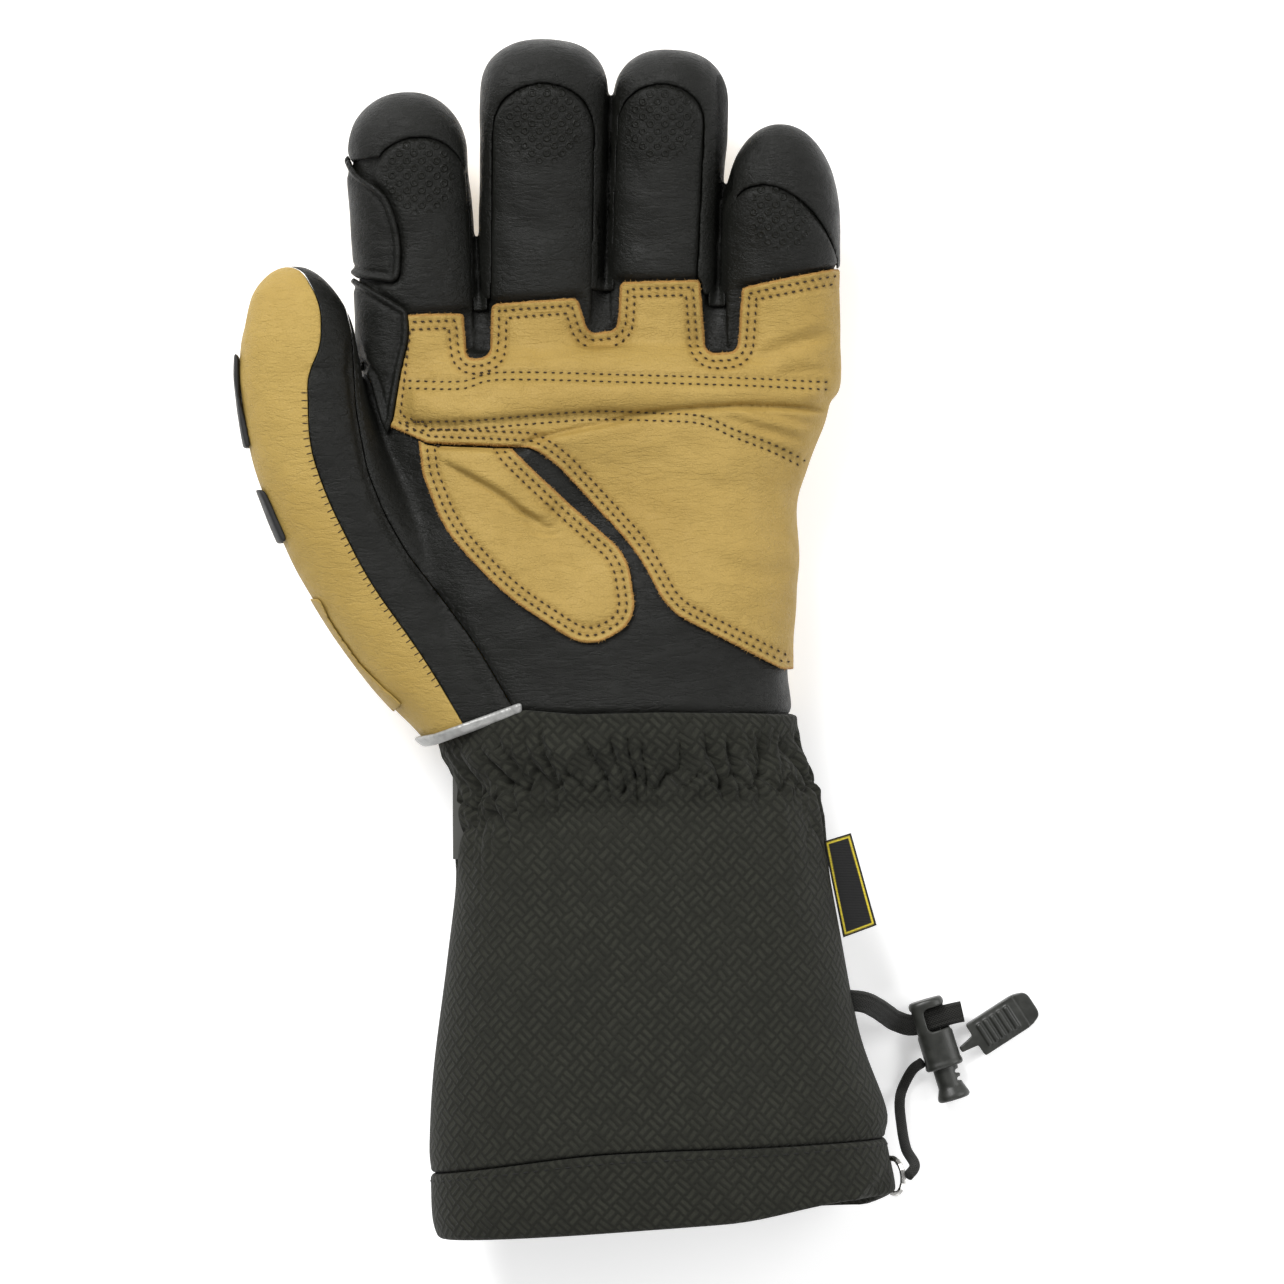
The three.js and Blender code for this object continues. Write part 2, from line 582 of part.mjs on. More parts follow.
// A finger's cap covers its tip and both sides, round an arched window over the pad.
function fingerCap(f) {
  const { length, root, side, forward } = fingerLine(f);
  const half = (f.end * FINGER_WIDTH) / 2;
  const window = { half: half * 0.68, top: length - half * 0.86, bottom: length * 0.1 };
  const toPlan = (across, along) => {
    const p = root.clone().addScaledVector(side, across).addScaledVector(forward, along);
    return new THREE.Vector2(p.x, p.y);
  };
  const archSteps = 8;
  const arch = Array.from({ length: archSteps + 1 }, (_, i) => {
    const turn = (i / archSteps) * Math.PI;
    return toPlan(window.half * Math.cos(turn), window.top - window.half * (1 - Math.sin(turn) ** 0.8));
  });
  const opening = prism([toPlan(window.half, window.bottom), ...arch, toPlan(-window.half, window.bottom)], 0);
  const reach = FINGER_WIDTH * 0.62;
  const { left, right } = FINGERTIPS[f.name];
  const around = prism([
    toPlan(-reach, length * left),
    toPlan(0, length * left),
    toPlan(0, length * right),
    toPlan(reach, length * right),
    toPlan(reach, length * 1.2),
    toPlan(-reach, length * 1.2),
  ]);
  const skin = fingerForm(f, 0).subtract(fingerForm(f, -OVERLAY));
  return skin.intersect(around).subtract(opening).subtract(belowSeam(FIT));
}

// A reinforcement of the hand: what lies of a skin over an outline, with its edge above the seam.
function reinforcement(skin, area) {
  return skin.intersect(area).subtract(belowSeam(SEAM_ALLOWANCE));
}

function guard(rows) {
  const raised = thumbForm(GUARD - SKIN + FIT).subtract(thumbForm(FIT - SKIN));
  const low = PALM_DEPTH * 0.42;
  const high = PALM_DEPTH * 0.86;
  return raised.intersect(prism(outlinePoints(rows, THUMB_REACH, THUMB_LENGTH), low, high));
}

function thumbBasePatch() {
  const raised = handForm(OVERLAY + FIT - SKIN).subtract(handForm(FIT - SKIN));
  const area = prism(outlinePoints(THUMB_BASE_PATCH, THUMB_REACH, THUMB_LENGTH), PALM_DEPTH * 0.38, PALM_DEPTH);
  return raised.intersect(area).intersect(handSide(FIT + PIPING_WIDTH));
}

// The piping lies on the hand just beyond the wrist seam, from the back round the thumb's side.
function wristPiping() {
  const band = handForm(FIT + OVERLAY - SKIN).subtract(handForm(FIT - SKIN)).intersect(aboveGround);
  const thumbSide = solidOf(
    new THREE.BoxGeometry(FAR, FAR, FAR).translate(PIPING_END * PALM_WIDTH - FAR / 2, 0, FAR / 2 + PALM_DEPTH * 0.2),
  );
  return band
    .intersect(handSide(FIT))
    .subtract(handSide(FIT + PIPING_WIDTH))
    .intersect(thumbSide);
}

// A point on the cuff's side at a share of its length: sign is 1 at the little finger, -1 at the thumb.
function cuffSide(along, sign, out = 0) {
  const row = cuffRow(along);
  const x = row.middle * CUFF_WIDTH + sign * ((row.wide * CUFF_WIDTH) / 2 + out);
  return new THREE.Vector3(x, -along * CUFF_LENGTH, (row.deep * CUFF_DEPTH) / 2);
}

const HEM_START = 1 - HEM_HEIGHT / CUFF_LENGTH;
const CORD_EXIT = 0.581;
const RING_ALONG = 0.935;

// All that lies more than along down the cuff.
function belowCuffLine(along) {
  const box = new THREE.BoxGeometry(FAR * 2, FAR, FAR * 2).translate(0, -along - FAR / 2, 0);
  return solidOf(box.applyMatrix4(cuffTurn));
}

const RING_TURN = 60; // degrees of its plane from level
const ringSeat = cuffSide(RING_ALONG, 1).add(new THREE.Vector3(0.2, 0, CUFF_DEPTH * 0.05));
const ringPlace = cuffTurn
  .clone()
  .multiply(new THREE.Matrix4().setPosition(ringSeat))
  .multiply(new THREE.Matrix4().makeRotationY(-RING_TURN * DEG));

function hemRing(wire) {
  return solidOf(new THREE.TorusGeometry(RING.radius, wire, 6, 18).applyMatrix4(ringPlace));
}

function cuffTube(count) {
  const hollow = cuffForm(-CUFF_WALL, PALM_COUNT.outside).add(cuffInnerEnds());
  return cuffForm(0, count).subtract(hollow).intersect(aboveGround);
}

function cuffPieces() {
  const hemLine = HEM_START * CUFF_LENGTH;
  const exit = cuffSide(CORD_EXIT, 1);
  const slot = solidOf(
    new THREE.BoxGeometry(CUFF_WALL * 4, DRAWCORD.width + 2 * DRAWCORD.room, DRAWCORD.thickness + 2 * DRAWCORD.room)
      .translate(exit.x, exit.y, exit.z)
      .applyMatrix4(cuffTurn),
  );
  return {
    cuff_shell: cuffTube(PLEAT_POINTS)
      .subtract(handSide(0))
      .subtract(belowCuffLine(hemLine - FIT))
      .subtract(slot),
    cuff_hem: cuffTube(HEM_COUNT).intersect(belowCuffLine(hemLine)).subtract(hemRing(RING.wire + FIT)),
  };
}

// The hollow of the cuff runs out through both of its ends.
function cuffInnerEnds() {
  const last = CUFF_ROWS[CUFF_ROWS.length - 1];
  return loft([1 - 2e-3, 1.1].map((along) => cuffRing({ ...last, along }, -CUFF_WALL, PALM_COUNT.outside)));
}

// A sewn-in strip that sticks out of the cuff's side.
function sideStrip({ sign, from, thickness, length, proud, buried }) {
  const top = cuffSide(from, sign);
  const bottom = cuffSide(from + length / CUFF_LENGTH, sign);
  const along = bottom.clone().sub(top);
  const box = new THREE.BoxGeometry(proud + buried, along.length(), thickness)
    .translate((sign * (proud - buried)) / 2, 0, 0)
    .rotateZ(Math.atan2(along.x, -along.y))
    .translate((top.x + bottom.x) / 2, (top.y + bottom.y) / 2, (top.z + bottom.z) / 2);
  return solidOf(box.applyMatrix4(cuffTurn)).subtract(cuffForm(FIT, PLEAT_POINTS));
}

// The cord lock lies on the ground beside the cuff, its own Y axis along the barrel.
const LOCK_TURN = 17;
const cordExit = cuffSide(CORD_EXIT, 1).applyMatrix4(cuffTurn);
const lockPlace = new THREE.Matrix4()
  .makeRotationZ(LOCK_TURN * DEG)
  .setPosition(cordExit.x + LOCK.length * 1.2, cordExit.y - LOCK.length * 0.525, LOCK.height / 2);

// A round profile turned about the Y axis, flattened to the lock's height.
function turned(profile, sides = 20) {
  const geometry = new THREE.LatheGeometry(
    profile.map(([x, y]) => new THREE.Vector2(x, y)),
    sides,
  );
  return solidOf(geometry.scale(1, 1, LOCK.height / LOCK.width));
}

function lockBarrel() {
  const half = LOCK.length / 2;
  const radius = LOCK.width / 2;
  const body = turned([
    [0, -half],
    [radius - 0.4, -half],
    [radius, -half + 0.8],
    [radius * 0.93, -half + 2],
    [radius * 0.93, half - 1.6],
    [radius * 0.84, half - 0.4],
    [radius * 0.7, half],
    [0, half],
  ]);
  const bore = turned([
    [0, -half - 1],
    [LOCK.bore, -half - 1],
    [LOCK.bore, half - LOCK.cap],
    [0, half - LOCK.cap],
  ]);
  return body.subtract(bore).subtract(cordTunnel(LOCK.cordOffset, DRAWCORD.width / 2 + DRAWCORD.room));
}

// A straight way for the flat cord across the lock, half as long as it reaches along the barrel.
function cordTunnel(middle, half) {
  const box = new THREE.BoxGeometry(LOCK.width * 2, half * 2, DRAWCORD.thickness + 2 * DRAWCORD.room);
  return solidOf(box.translate(0, middle, 0));
}

// The plunger is a fork: its prongs pass above and below the cord, with room for its travel.
function lockPlunger() {
  const end = -LOCK.length / 2 - PLUNGER.stickOut;
  const top = LOCK.length / 2 - LOCK.cap - PLUNGER.travel - FIT;
  const fork = LOCK.cordOffset - DRAWCORD.width / 2 - PLUNGER.travel - DRAWCORD.room;
  const stem = LOCK.bore - FIT;
  const foot = PLUNGER.footWidth / 2;
  const body = turned([
    [0, end],
    [foot * 0.9, end],
    [foot, end + 0.8],
    [stem, end + 4],
    [stem, top],
    [0, top],
  ]);
  const notch = new THREE.BoxGeometry(2, 1.2, LOCK.height).translate(stem, 0, 0);
  return body
    .subtract(cordTunnel((fork + top + 2) / 2, (top + 2 - fork) / 2))
    .subtract(solidOf(notch.clone().translate(0, end + 5.4, 0)))
    .subtract(solidOf(notch.clone().translate(0, end + 7.6, 0)));
}

// The pull tab: a ribbed plate that widens to its end, on a moulded tail.
function pullTab() {
  const { length, width, thickness, ribs, tail } = TAB;
  const outline = new THREE.Shape([
    new THREE.Vector2(-tail, -0.8),
    new THREE.Vector2(0, -1.6),
    new THREE.Vector2(0, -width / 2),
    new THREE.Vector2(length * 0.8, -width / 2),
    new THREE.Vector2(length, -width * 0.36),
    new THREE.Vector2(length, width * 0.36),
    new THREE.Vector2(length * 0.8, width / 2),
    new THREE.Vector2(0, width / 2),
    new THREE.Vector2(0, 1.6),
    new THREE.Vector2(-tail, 0.8),
  ]);
  const plate = new THREE.ExtrudeGeometry(outline, { depth: thickness, bevelEnabled: false });
  let made = solidOf(plate.translate(0, 0, 0.2));
  const tailCut = new THREE.BoxGeometry(tail * 2, width, thickness).translate(-tail, 0, thickness * (0.5 - 0.52));
  made = made.subtract(solidOf(tailCut));
  for (let i = 0; i < ribs; i++) {
    const x = mix(length * 0.16, length * 0.62, i / (ribs - 1));
    made = made.add(solidOf(new THREE.BoxGeometry(1, width * 0.62, 0.7).translate(x, 0, thickness + 0.4)));
  }
  const groove = new THREE.BoxGeometry(0.5, width * 1.2, 0.8).translate(length * 0.8, 0, thickness + 0.2);
  return made.subtract(solidOf(groove));
}

const TAB_TURN = 16; // degrees from straight across the lock
const tabPlace = new THREE.Matrix4()
  .makeRotationZ(TAB_TURN * DEG)
  .setPosition(LOCK.width / 2 + TAB.tail - 0.05, -LOCK.length * 0.265, -LOCK.height / 2);

// A flat or round cord along points: an extruded section with 8 sides.
function cordAlong(points, width, thickness, steps) {
  const section = new THREE.Shape(
    Array.from({ length: 8 }, (_, i) => {
      const turn = ((i + 0.5) / 8) * 2 * Math.PI;
      return new THREE.Vector2((Math.cos(turn) * thickness) / 2, (Math.sin(turn) * width) / 2);
    }),
  );
  const extrudePath = new THREE.CatmullRomCurve3(points);
  return new THREE.ExtrudeGeometry(section, { steps, extrudePath, bevelEnabled: false });
}

const glove = new THREE.Group();

function finish(colour, roughness, metalness = 0) {
  return new THREE.MeshStandardMaterial({ color: new THREE.Color(...colour), roughness, metalness });
}
const BLACK_LEATHER = finish([0.03, 0.031, 0.028], 0.55);
const TAN_LEATHER = finish([0.5, 0.33, 0.1], 0.62);
const CUFF_FABRIC = finish([0.028, 0.03, 0.026], 0.85);
const BLACK_RUBBER = finish([0.02, 0.02, 0.02], 0.5);
const REFLECTIVE = finish([0.36, 0.36, 0.35], 0.35);
const BRAID = finish([0.02, 0.02, 0.018], 0.8);
const LABEL_WEAVE = finish([0.02, 0.02, 0.02], 0.7);
const STEEL = finish([0.55, 0.55, 0.54], 0.25, 1);
const PLASTIC = finish([0.035, 0.037, 0.032], 0.45);

function add(name, shape, material, place) {
  const mesh = new THREE.Mesh(shape.isBufferGeometry ? shape : geometryOf(shape), material);
  mesh.name = name;
  if (place) mesh.applyMatrix4(place);
  glove.add(mesh);
  return mesh;
}

const hand = handPieces();
add("hand_palm", hand.hand_palm, BLACK_LEATHER);
add("thumb_gusset", hand.thumb_gusset, BLACK_LEATHER);
add("hand_back", hand.hand_back, TAN_LEATHER);
add("thumb_panel", hand.thumb_panel, TAN_LEATHER);

const indexPatches = onPalm(INDEX_PATCH_UPPER, FIT).add(onPalm(INDEX_PATCH_LOWER, FIT));
const palmArea = onPalm(PALM_PATCH, 0).subtract(indexPatches);
const webArea = onPalm(THUMB_WEB_PATCH, 0).subtract(onPalm(PALM_PATCH, FIT));
add("palm_patch", reinforcement(overlaySkin, palmArea), TAN_LEATHER);
add("thumb_web_patch", reinforcement(overlaySkin, webArea), TAN_LEATHER);
add("index_patch_upper", reinforcement(mittSkin, onPalm(INDEX_PATCH_UPPER, 0)), BLACK_LEATHER);
add("index_patch_lower", reinforcement(mittSkin, onPalm(INDEX_PATCH_LOWER, 0)), BLACK_LEATHER);
for (const f of FINGERS) {
  const clear = fingerCap(f).subtract(indexPatches).subtract(onPalm(PALM_PATCH, FIT));
  add(`cap_${f.name}`, clear, BLACK_LEATHER);
}
add("thumb_guard_upper", guard(THUMB_GUARD_UPPER), BLACK_RUBBER);
add("thumb_guard_lower", guard(THUMB_GUARD_LOWER), BLACK_RUBBER);
add("thumb_base_patch", thumbBasePatch(), TAN_LEATHER);
add("wrist_piping", wristPiping(), REFLECTIVE);

const cuff = cuffPieces();
add("cuff_shell", cuff.cuff_shell, CUFF_FABRIC);
add("cuff_hem", cuff.cuff_hem, CUFF_FABRIC);
add(
  "side_label",
  sideStrip({
    sign: 1,
    from: 0.265,
    thickness: LABEL.thickness,
    length: LABEL.length,
    proud: LABEL.width,
    buried: LABEL.width / 2,
  }),
  LABEL_WEAVE,
);
add(
  "wrist_side_tab",
  sideStrip({
    sign: -1,
    from: 0.07,
    thickness: SIDE_TAB.thickness,
    length: SIDE_TAB.length,
    proud: SIDE_TAB.proud,
    buried: SIDE_TAB.proud,
  }),
  BRAID,
);
add("hem_ring", hemRing(RING.wire), STEEL);

add("cord_lock_barrel", lockBarrel(), PLASTIC, lockPlace);
add("cord_lock_plunger", lockPlunger(), PLASTIC, lockPlace);
add("pull_tab", pullTab(), PLASTIC, lockPlace.clone().multiply(tabPlace));

// The drawcord leaves the cuff through its slot, sinks to the ground and passes through the lock.
const inLock = (x, y) => new THREE.Vector3(x, y, 0).applyMatrix4(lockPlace);
const fromExit = (x, y, z) => cordExit.clone().add(new THREE.Vector3(x, y, z));
const drawcordPath = [
  fromExit(-CUFF_WALL * 2, LOCK.length * 0.02, 0),
  fromExit(CUFF_WALL, -LOCK.length * 0.015, -CUFF_WALL * 0.04),
  fromExit(CUFF_WALL * 2.4, -LOCK.length * 0.11, -CUFF_DEPTH * 0.09),
  fromExit(CUFF_WALL * 3.6, -LOCK.length * 0.235, -CUFF_DEPTH * 0.23),
  fromExit(CUFF_WALL * 4.7, -LOCK.length * 0.345, -CUFF_DEPTH * 0.35),
  inLock(-LOCK.width * 0.52, LOCK.cordOffset + 0.2),
  inLock(0, LOCK.cordOffset),
  inLock(LOCK.width * 0.5, LOCK.cordOffset),
  inLock(LOCK.width * 0.85, LOCK.cordOffset - 0.3),
];
add("drawcord", cordAlong(drawcordPath, DRAWCORD.width, DRAWCORD.thickness, 18), BRAID);

// The leash runs from the barrel over the ground and up to the outer side of the hem ring.
const byRing = (x, y, z) => new THREE.Vector3(x, y, z).applyMatrix4(ringPlace);
const nearRing = (x, y, z) => ringSeat.clone().add(new THREE.Vector3(x, y, z)).applyMatrix4(cuffTurn);
const leashPath = [
  inLock(-LOCK.width / 2 - FIT, -LOCK.length * 0.34),
  inLock(-LOCK.width * 0.8, -LOCK.length * 0.4).setZ(LEASH_WIDTH),
  inLock(-LOCK.width * 1.2, -LOCK.length * 0.62).setZ(LEASH_WIDTH * 0.6),
  nearRing(RING.radius * 0.85, RING.radius * 3.7, -CUFF_DEPTH * 0.46),
  nearRing(RING.radius * 0.8, RING.radius * 2.5, -CUFF_DEPTH * 0.34),
  nearRing(RING.radius * 0.88, RING.radius * 1.3, -CUFF_DEPTH * 0.16),
  nearRing(RING.radius * 1.2, RING.radius * 0.42, CUFF_DEPTH * 0.01),
  byRing(RING.radius, 0, -RING.wire - FIT * 2.7),
];
add("leash_cord", cordAlong(leashPath, LEASH_WIDTH, LEASH_WIDTH, 28), BRAID);

// The origin goes to the bottom centre of the glove without its cords and what hangs on them.
const LOOSE = ["drawcord", "leash_cord", "cord_lock_barrel", "cord_lock_plunger", "pull_tab"];
const extent = new THREE.Box3();
for (const mesh of glove.children) if (!LOOSE.includes(mesh.name)) extent.expandByObject(mesh);
const centre = extent.getCenter(new THREE.Vector3()).setZ(extent.min.z);
for (const mesh of glove.children) mesh.position.sub(centre);

export default glove;
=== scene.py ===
# Insulated work glove, left hand, lying palm up on a pale floor.
import math
import bmesh
import bpy
import numpy as np
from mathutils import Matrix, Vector
from mathutils.bvhtree import BVHTree
from mathutils.kdtree import KDTree


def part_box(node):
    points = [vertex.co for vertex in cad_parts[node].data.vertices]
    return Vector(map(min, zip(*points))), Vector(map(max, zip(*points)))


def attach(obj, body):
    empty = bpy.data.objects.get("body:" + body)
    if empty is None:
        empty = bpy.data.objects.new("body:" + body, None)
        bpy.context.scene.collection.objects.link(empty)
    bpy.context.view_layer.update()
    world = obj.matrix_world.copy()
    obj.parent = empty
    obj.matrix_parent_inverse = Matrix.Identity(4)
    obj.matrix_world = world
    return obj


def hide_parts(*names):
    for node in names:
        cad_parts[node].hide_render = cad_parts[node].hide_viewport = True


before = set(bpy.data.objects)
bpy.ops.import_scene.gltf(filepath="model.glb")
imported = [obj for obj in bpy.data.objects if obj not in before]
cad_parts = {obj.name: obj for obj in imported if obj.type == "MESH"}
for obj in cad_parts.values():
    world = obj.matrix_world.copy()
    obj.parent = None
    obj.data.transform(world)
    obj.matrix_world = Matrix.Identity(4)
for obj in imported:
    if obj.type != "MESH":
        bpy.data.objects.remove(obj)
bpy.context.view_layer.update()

# Sizes in millimetres, as in the part's source. Shapes are made in millimetres round the middle of the
# wrist
# seam and moved to the row's frame when they become objects.
PALM_LENGTH = 108
PALM_WIDTH = 121
PALM_DEPTH = 46
WRIST_WIDTH = 100.5
WRIST_DEPTH = 48
FINGER_LENGTH = 100
FINGER_WIDTH = 36
FINGER_DEPTH = 29
THUMB_LENGTH = 131
THUMB_REACH = 93
THUMB_WIDTH = 37
THUMB_DEPTH = 34
CUFF_LENGTH = 139
CUFF_WIDTH = 128
CUFF_DEPTH = 66
CUFF_TILT = math.radians(4.5)
HEM_HEIGHT = 19.7
HAND_WALL = 3.4
CUFF_WALL = 2.8
OVERLAY = 1.4
GUARD = 1.4
FIT = 0.3
SKIN = OVERLAY + FIT
SEAM_ALLOWANCE = 5
LOCK_LENGTH = 20
LOCK_WIDTH = 11
LOCK_HEIGHT = 9.6
LOCK_TURN = math.radians(17)
CORD_WIDTH = 6
CORD_THICKNESS = 3
LEASH_WIDTH = 3
CORD_OFFSET = 4
LOCK_BORE = 3.9
LOCK_ROOM = 0.7
PLUNGER_FOOT = 9.4
PLUNGER_OUT = 9.5
PLUNGER_TRAVEL = 4
TAB_LENGTH = 19.5
TAB_WIDTH = 10.4
TAB_THICK = 4.6
TAB_TAIL = 5
TAB_TURN = math.radians(16)
RING_RADIUS = 5
RING_WIRE = 0.8
RING_TURN = math.radians(60)
RING_ALONG = 0.935
CORD_EXIT_ALONG = 0.581
ROOT_ALONG = 0.857
ROOT_HEIGHT = 0.46
MM = 0.001
# Sizes of the cells that rebuild a mesh before its edges are rounded.
SHELL_VOXEL = 1.1
LINING_VOXEL = 2.4
PATCH_VOXEL = 0.6
OVERLAY_VOXEL = 0.5
CAP_VOXEL = 0.62
BASE_TAB_VOXEL = 0.55
PIPING_VOXEL = 0.35
BARREL_VOXEL = 0.32
PLUNGER_VOXEL = 0.3
PULL_VOXEL = 0.28
RIM_WIDTH = 1.3
WINDOW_SWELL = 1.95
EDGE_INSETS = (2.2, 4.3)
STITCH_PITCH = 2.2
FIBRE_PITCH = 0.45
FIBRE_LENGTH = 0.75
INDEX_PATCH_LEFT = -76.5
# The leather that joins two fingers at their roots: where it lies and its half sizes.
WEBS = [(-38.7, 106), (-4.2, 110), (28.3, 108)]
WEB_HEIGHT = 17
WEB_SIZE = (5, 17, 12)
# The window of each fingertip's cap: its offset from the finger's middle, its half width, how far its
# top lies from the fingertip and how far its top falls towards the little finger's side.
CAP_WINDOWS = {"index": (3.2, 12.7, 13.7, 0), "middle": (0, 14, 13.2, 0), "ring": (-2.1, 11.9, 11, 0),
               "little": (0.5, 15.5, 14.8, 13)}
PAD_BELOW = 10.5
PUCKERS = 34
PUCKER_HEIGHT = 3.6
ZIGZAGS = 27
FOLDS = 44
ELASTIC_BELOW = 18.5

# name, root, length, lean, base, end, dome, power, rise, cap_left, cap_right
FINGERS = [
    ("index", -0.456, 0.857, -3.2, 1.0, 0.93, 0.54, 2.2, 0.10, 0.78, 0.27),
    ("middle", -0.180, 1.000, 0.8, 0.97, 1.02, 0.44, 2.6, 0.10, 0.27, 0.30),
    ("ring", 0.089, 0.978, 2.6, 0.86, 0.93, 0.50, 2.4, 0.08, 0.30, 0.30),
    ("little", 0.374, 0.765, 0.2, 0.96, 0.9, 0.80, 2.05, 0.19, 0.33, 0.46),
]

# along, left, right, top, wrist, bottom
PALM_ROWS = np.array([
    (-0.2, -0.43, 0.43, 1, 1, 0),
    (0.03, -0.43, 0.42, 1, 1, 0),
    (0.15, -0.462, 0.404, 1.02, 0.3, 0),
    (0.33, -0.505, 0.412, 1.02, 0, 0),
    (0.46, -0.537, 0.421, 1.0, 0, 0),
    (0.58, -0.555, 0.415, 0.98, 0, 0),
    (0.68, -0.568, 0.44, 0.97, 0, 0),
    (0.74, -0.578, 0.462, 0.97, 0, 0),
    (0.79, -0.586, 0.48, 0.96, 0, 0),
    (0.84, -0.592, 0.49, 0.95, 0, 0),
    (0.89, -0.597, 0.495, 0.92, 0, 0),
    (0.94, -0.6, 0.5, 0.86, 0, 0),
    (0.985, -0.585, 0.5, 0.76, 0, 0.2),
])

# x, y, wide, tall, height
PALM_RELIEF = [
    (-0.4, 0.36, 0.17, 0.28, 0.10),
    (0.26, 0.36, 0.17, 0.30, 0.05),
    (-0.04, 0.55, 0.17, 0.20, -0.10),
]

# out, along, wide, deep, height
THUMB_ROWS = np.array([
    (0.3, -0.1, 0.95, 1.12, 0.48),
    (0.43, 0.04, 0.97, 1.16, 0.52),
    (0.6, 0.2, 1.1, 1.12, 0.57),
    (0.74, 0.35, 1.12, 1.05, 0.63),
    (0.85, 0.49, 1.08, 1, 0.69),
    (0.92, 0.63, 1.05, 0.97, 0.73),
    (0.952, 0.76, 1.01, 0.94, 0.75),
    (0.958, 0.84, 0.95, 0.9, 0.76),
    (1, 1, 0, 0, 0.76),
])
THUMB_DOME = 0.75
THUMB_POWER = 2.05

# along, middle, wide, deep
CUFF_ROWS = np.array([
    (-0.08, -0.006, 0.79, 0.727),
    (0.012, 0, 0.785, 0.727),
    (0.055, 0.008, 0.745, 0.705),
    (0.091, 0.02, 0.73, 0.69),
    (0.13, 0.022, 0.745, 0.7),
    (0.165, 0.023, 0.758, 0.7),
    (0.218, 0.024, 0.782, 0.74),
    (0.3, 0.024, 0.808, 0.78),
    (0.45, 0.018, 0.856, 0.85),
    (0.65, 0.01, 0.926, 0.93),
    (0.8, 0.022, 0.992, 0.99),
    (0.857, 0.018, 0.985, 1),
    (0.95, 0.022, 1, 1),
    (1, 0.026, 0.98, 0.98),
])

# Outlines seen from above: x and y in shares of the palm's width and length, and the corner's fillet.
PALM_PATCH = [
    (-0.51, 1.07, 0.003), (-0.356, 1.076, 0.008), (-0.347, 0.954, 0.02), (-0.296, 0.962, 0.02),
    (-0.292, 1.099, 0.01), (-0.093, 1.115, 0.012), (-0.067, 1.024, 0.02), (-0.002, 1.034, 0.02),
    (0.005, 1.156, 0.01), (0.19, 1.162, 0.01), (0.204, 0.97, 0.022), (0.275, 0.975, 0.022),
    (0.285, 1.141, 0.01), (0.56, 1.205, 0), (0.6, 0.17, 0), (0.38, 0.153, 0.01),
    (0.116, 0.303, 0.05), (0.042, 0.459, 0.06), (-0.141, 0.682, 0.03), (-0.197, 0.723, 0.012),
    (-0.435, 0.735, 0.008), (-0.54, 0.788, 0.003),
]
THUMB_WEB_PATCH = [
    (-0.462, 0.77, 0.004), (-0.449, 0.656, 0.012), (-0.398, 0.511, 0.06), (-0.262, 0.345, 0.09),
    (-0.069, 0.205, 0.08), (0.046, 0.277, 0.06), (0.023, 0.45, 0.05), (-0.1, 0.57, 0.03),
    (-0.205, 0.68, 0.03), (-0.245, 0.725, 0.01), (-0.245, 0.77, 0),
]
INDEX_PATCH_UPPER = [
    (-0.72, 1.55, 0), (-0.634, 1.51, 0.005), (-0.606, 1.435, 0.03), (-0.532, 1.38, 0.04),
    (-0.5, 1.268, 0.05), (-0.505, 1.151, 0.03), (-0.6, 1.168, 0.03), (-0.72, 1.256, 0),
]
INDEX_PATCH_LOWER = [
    (-0.72, 1.252, 0), (-0.602, 1.16, 0.03), (-0.537, 1.115, 0.02), (-0.486, 1.08, 0.012),
    (-0.483, 1.011, 0.03), (-0.502, 0.928, 0.05), (-0.52, 0.8, 0.03), (-0.532, 0.765, 0.005),
    (-0.546, 0.8, 0.01), (-0.575, 0.92, 0.03),
    (-0.72, 1, 0),
]
THUMB_GUSSET = [
    (-0.613, 1.019, 0), (-0.63, 1.1, 0), (-0.67, 1.3, 0), (-0.67, 1.6, 0), (-1.2, 1.6, 0), (-1.2, -0.3, 0),
    (-0.222, -0.3, 0), (-0.222, 0.02, 0), (-0.322, 0.21, 0.03), (-0.384, 0.306, 0.03),
    (-0.484, 0.451, 0.03),
    (-0.537, 0.555, 0.03), (-0.576, 0.666, 0.03), (-0.602, 0.822, 0.03),
]
# The same in shares of the thumb's reach and length.
THUMB_PANEL = [
    (-1.03, 0.985, 0.01), (-0.95, 0.98, 0.06), (-0.885, 0.9, 0.06), (-0.885, 0.81, 0.06),
    (-0.925, 0.75, 0.06), (-0.92, 0.6, 0.08), (-0.867, 0.489, 0.1), (-0.747, 0.318, 0.1),
    (-0.575, 0.147, 0.1), (-0.37, -0.1, 0), (-1.4, -0.1, 0), (-1.4, 1.1, 0), (-1.08, 1.1, 0),
]
THUMB_GUARD_UPPER = [(-1.3, 0.81, 0), (-1.135, 0.8, 0.02), (-1.13, 0.7, 0.02), (-1.09, 0.6, 0.02),
    (-1.3, 0.58, 0)]
THUMB_GUARD_LOWER = [(-1.3, 0.52, 0), (-1.055, 0.51, 0.02), (-0.985, 0.4, 0.02), (-1.25, 0.36, 0)]
THUMB_BASE_PATCH = [
    (-1.1, 0.285, 0), (-0.89, 0.28, 0.02), (-0.862, 0.23, 0.03), (-0.77, 0.135, 0.05),
    (-0.64, 0.05, 0.02), (-0.9, -0.05, 0),
]
WRIST_LINE = [(-0.7, -0.1), (-0.42, -0.04), (-0.222, 0.041), (-0.1, 0.03), (0.1, 0.036), (0.3, 0.034),
    (0.7, 0.02)]
PIPING_END = -0.222
SEAM_ROWS = [(-0.3, 0.3), (0.86, 0.32), (1.25, 0.4), (1.9, 0.6)]

# Lines across the palm, in shares of its width and length.
BAR_ROW_TOP = [(-0.488, 0.9), (-0.359, 0.897), (-0.268, 0.92), (0.03, 0.913), (0.3, 0.905), (0.49, 0.897)]
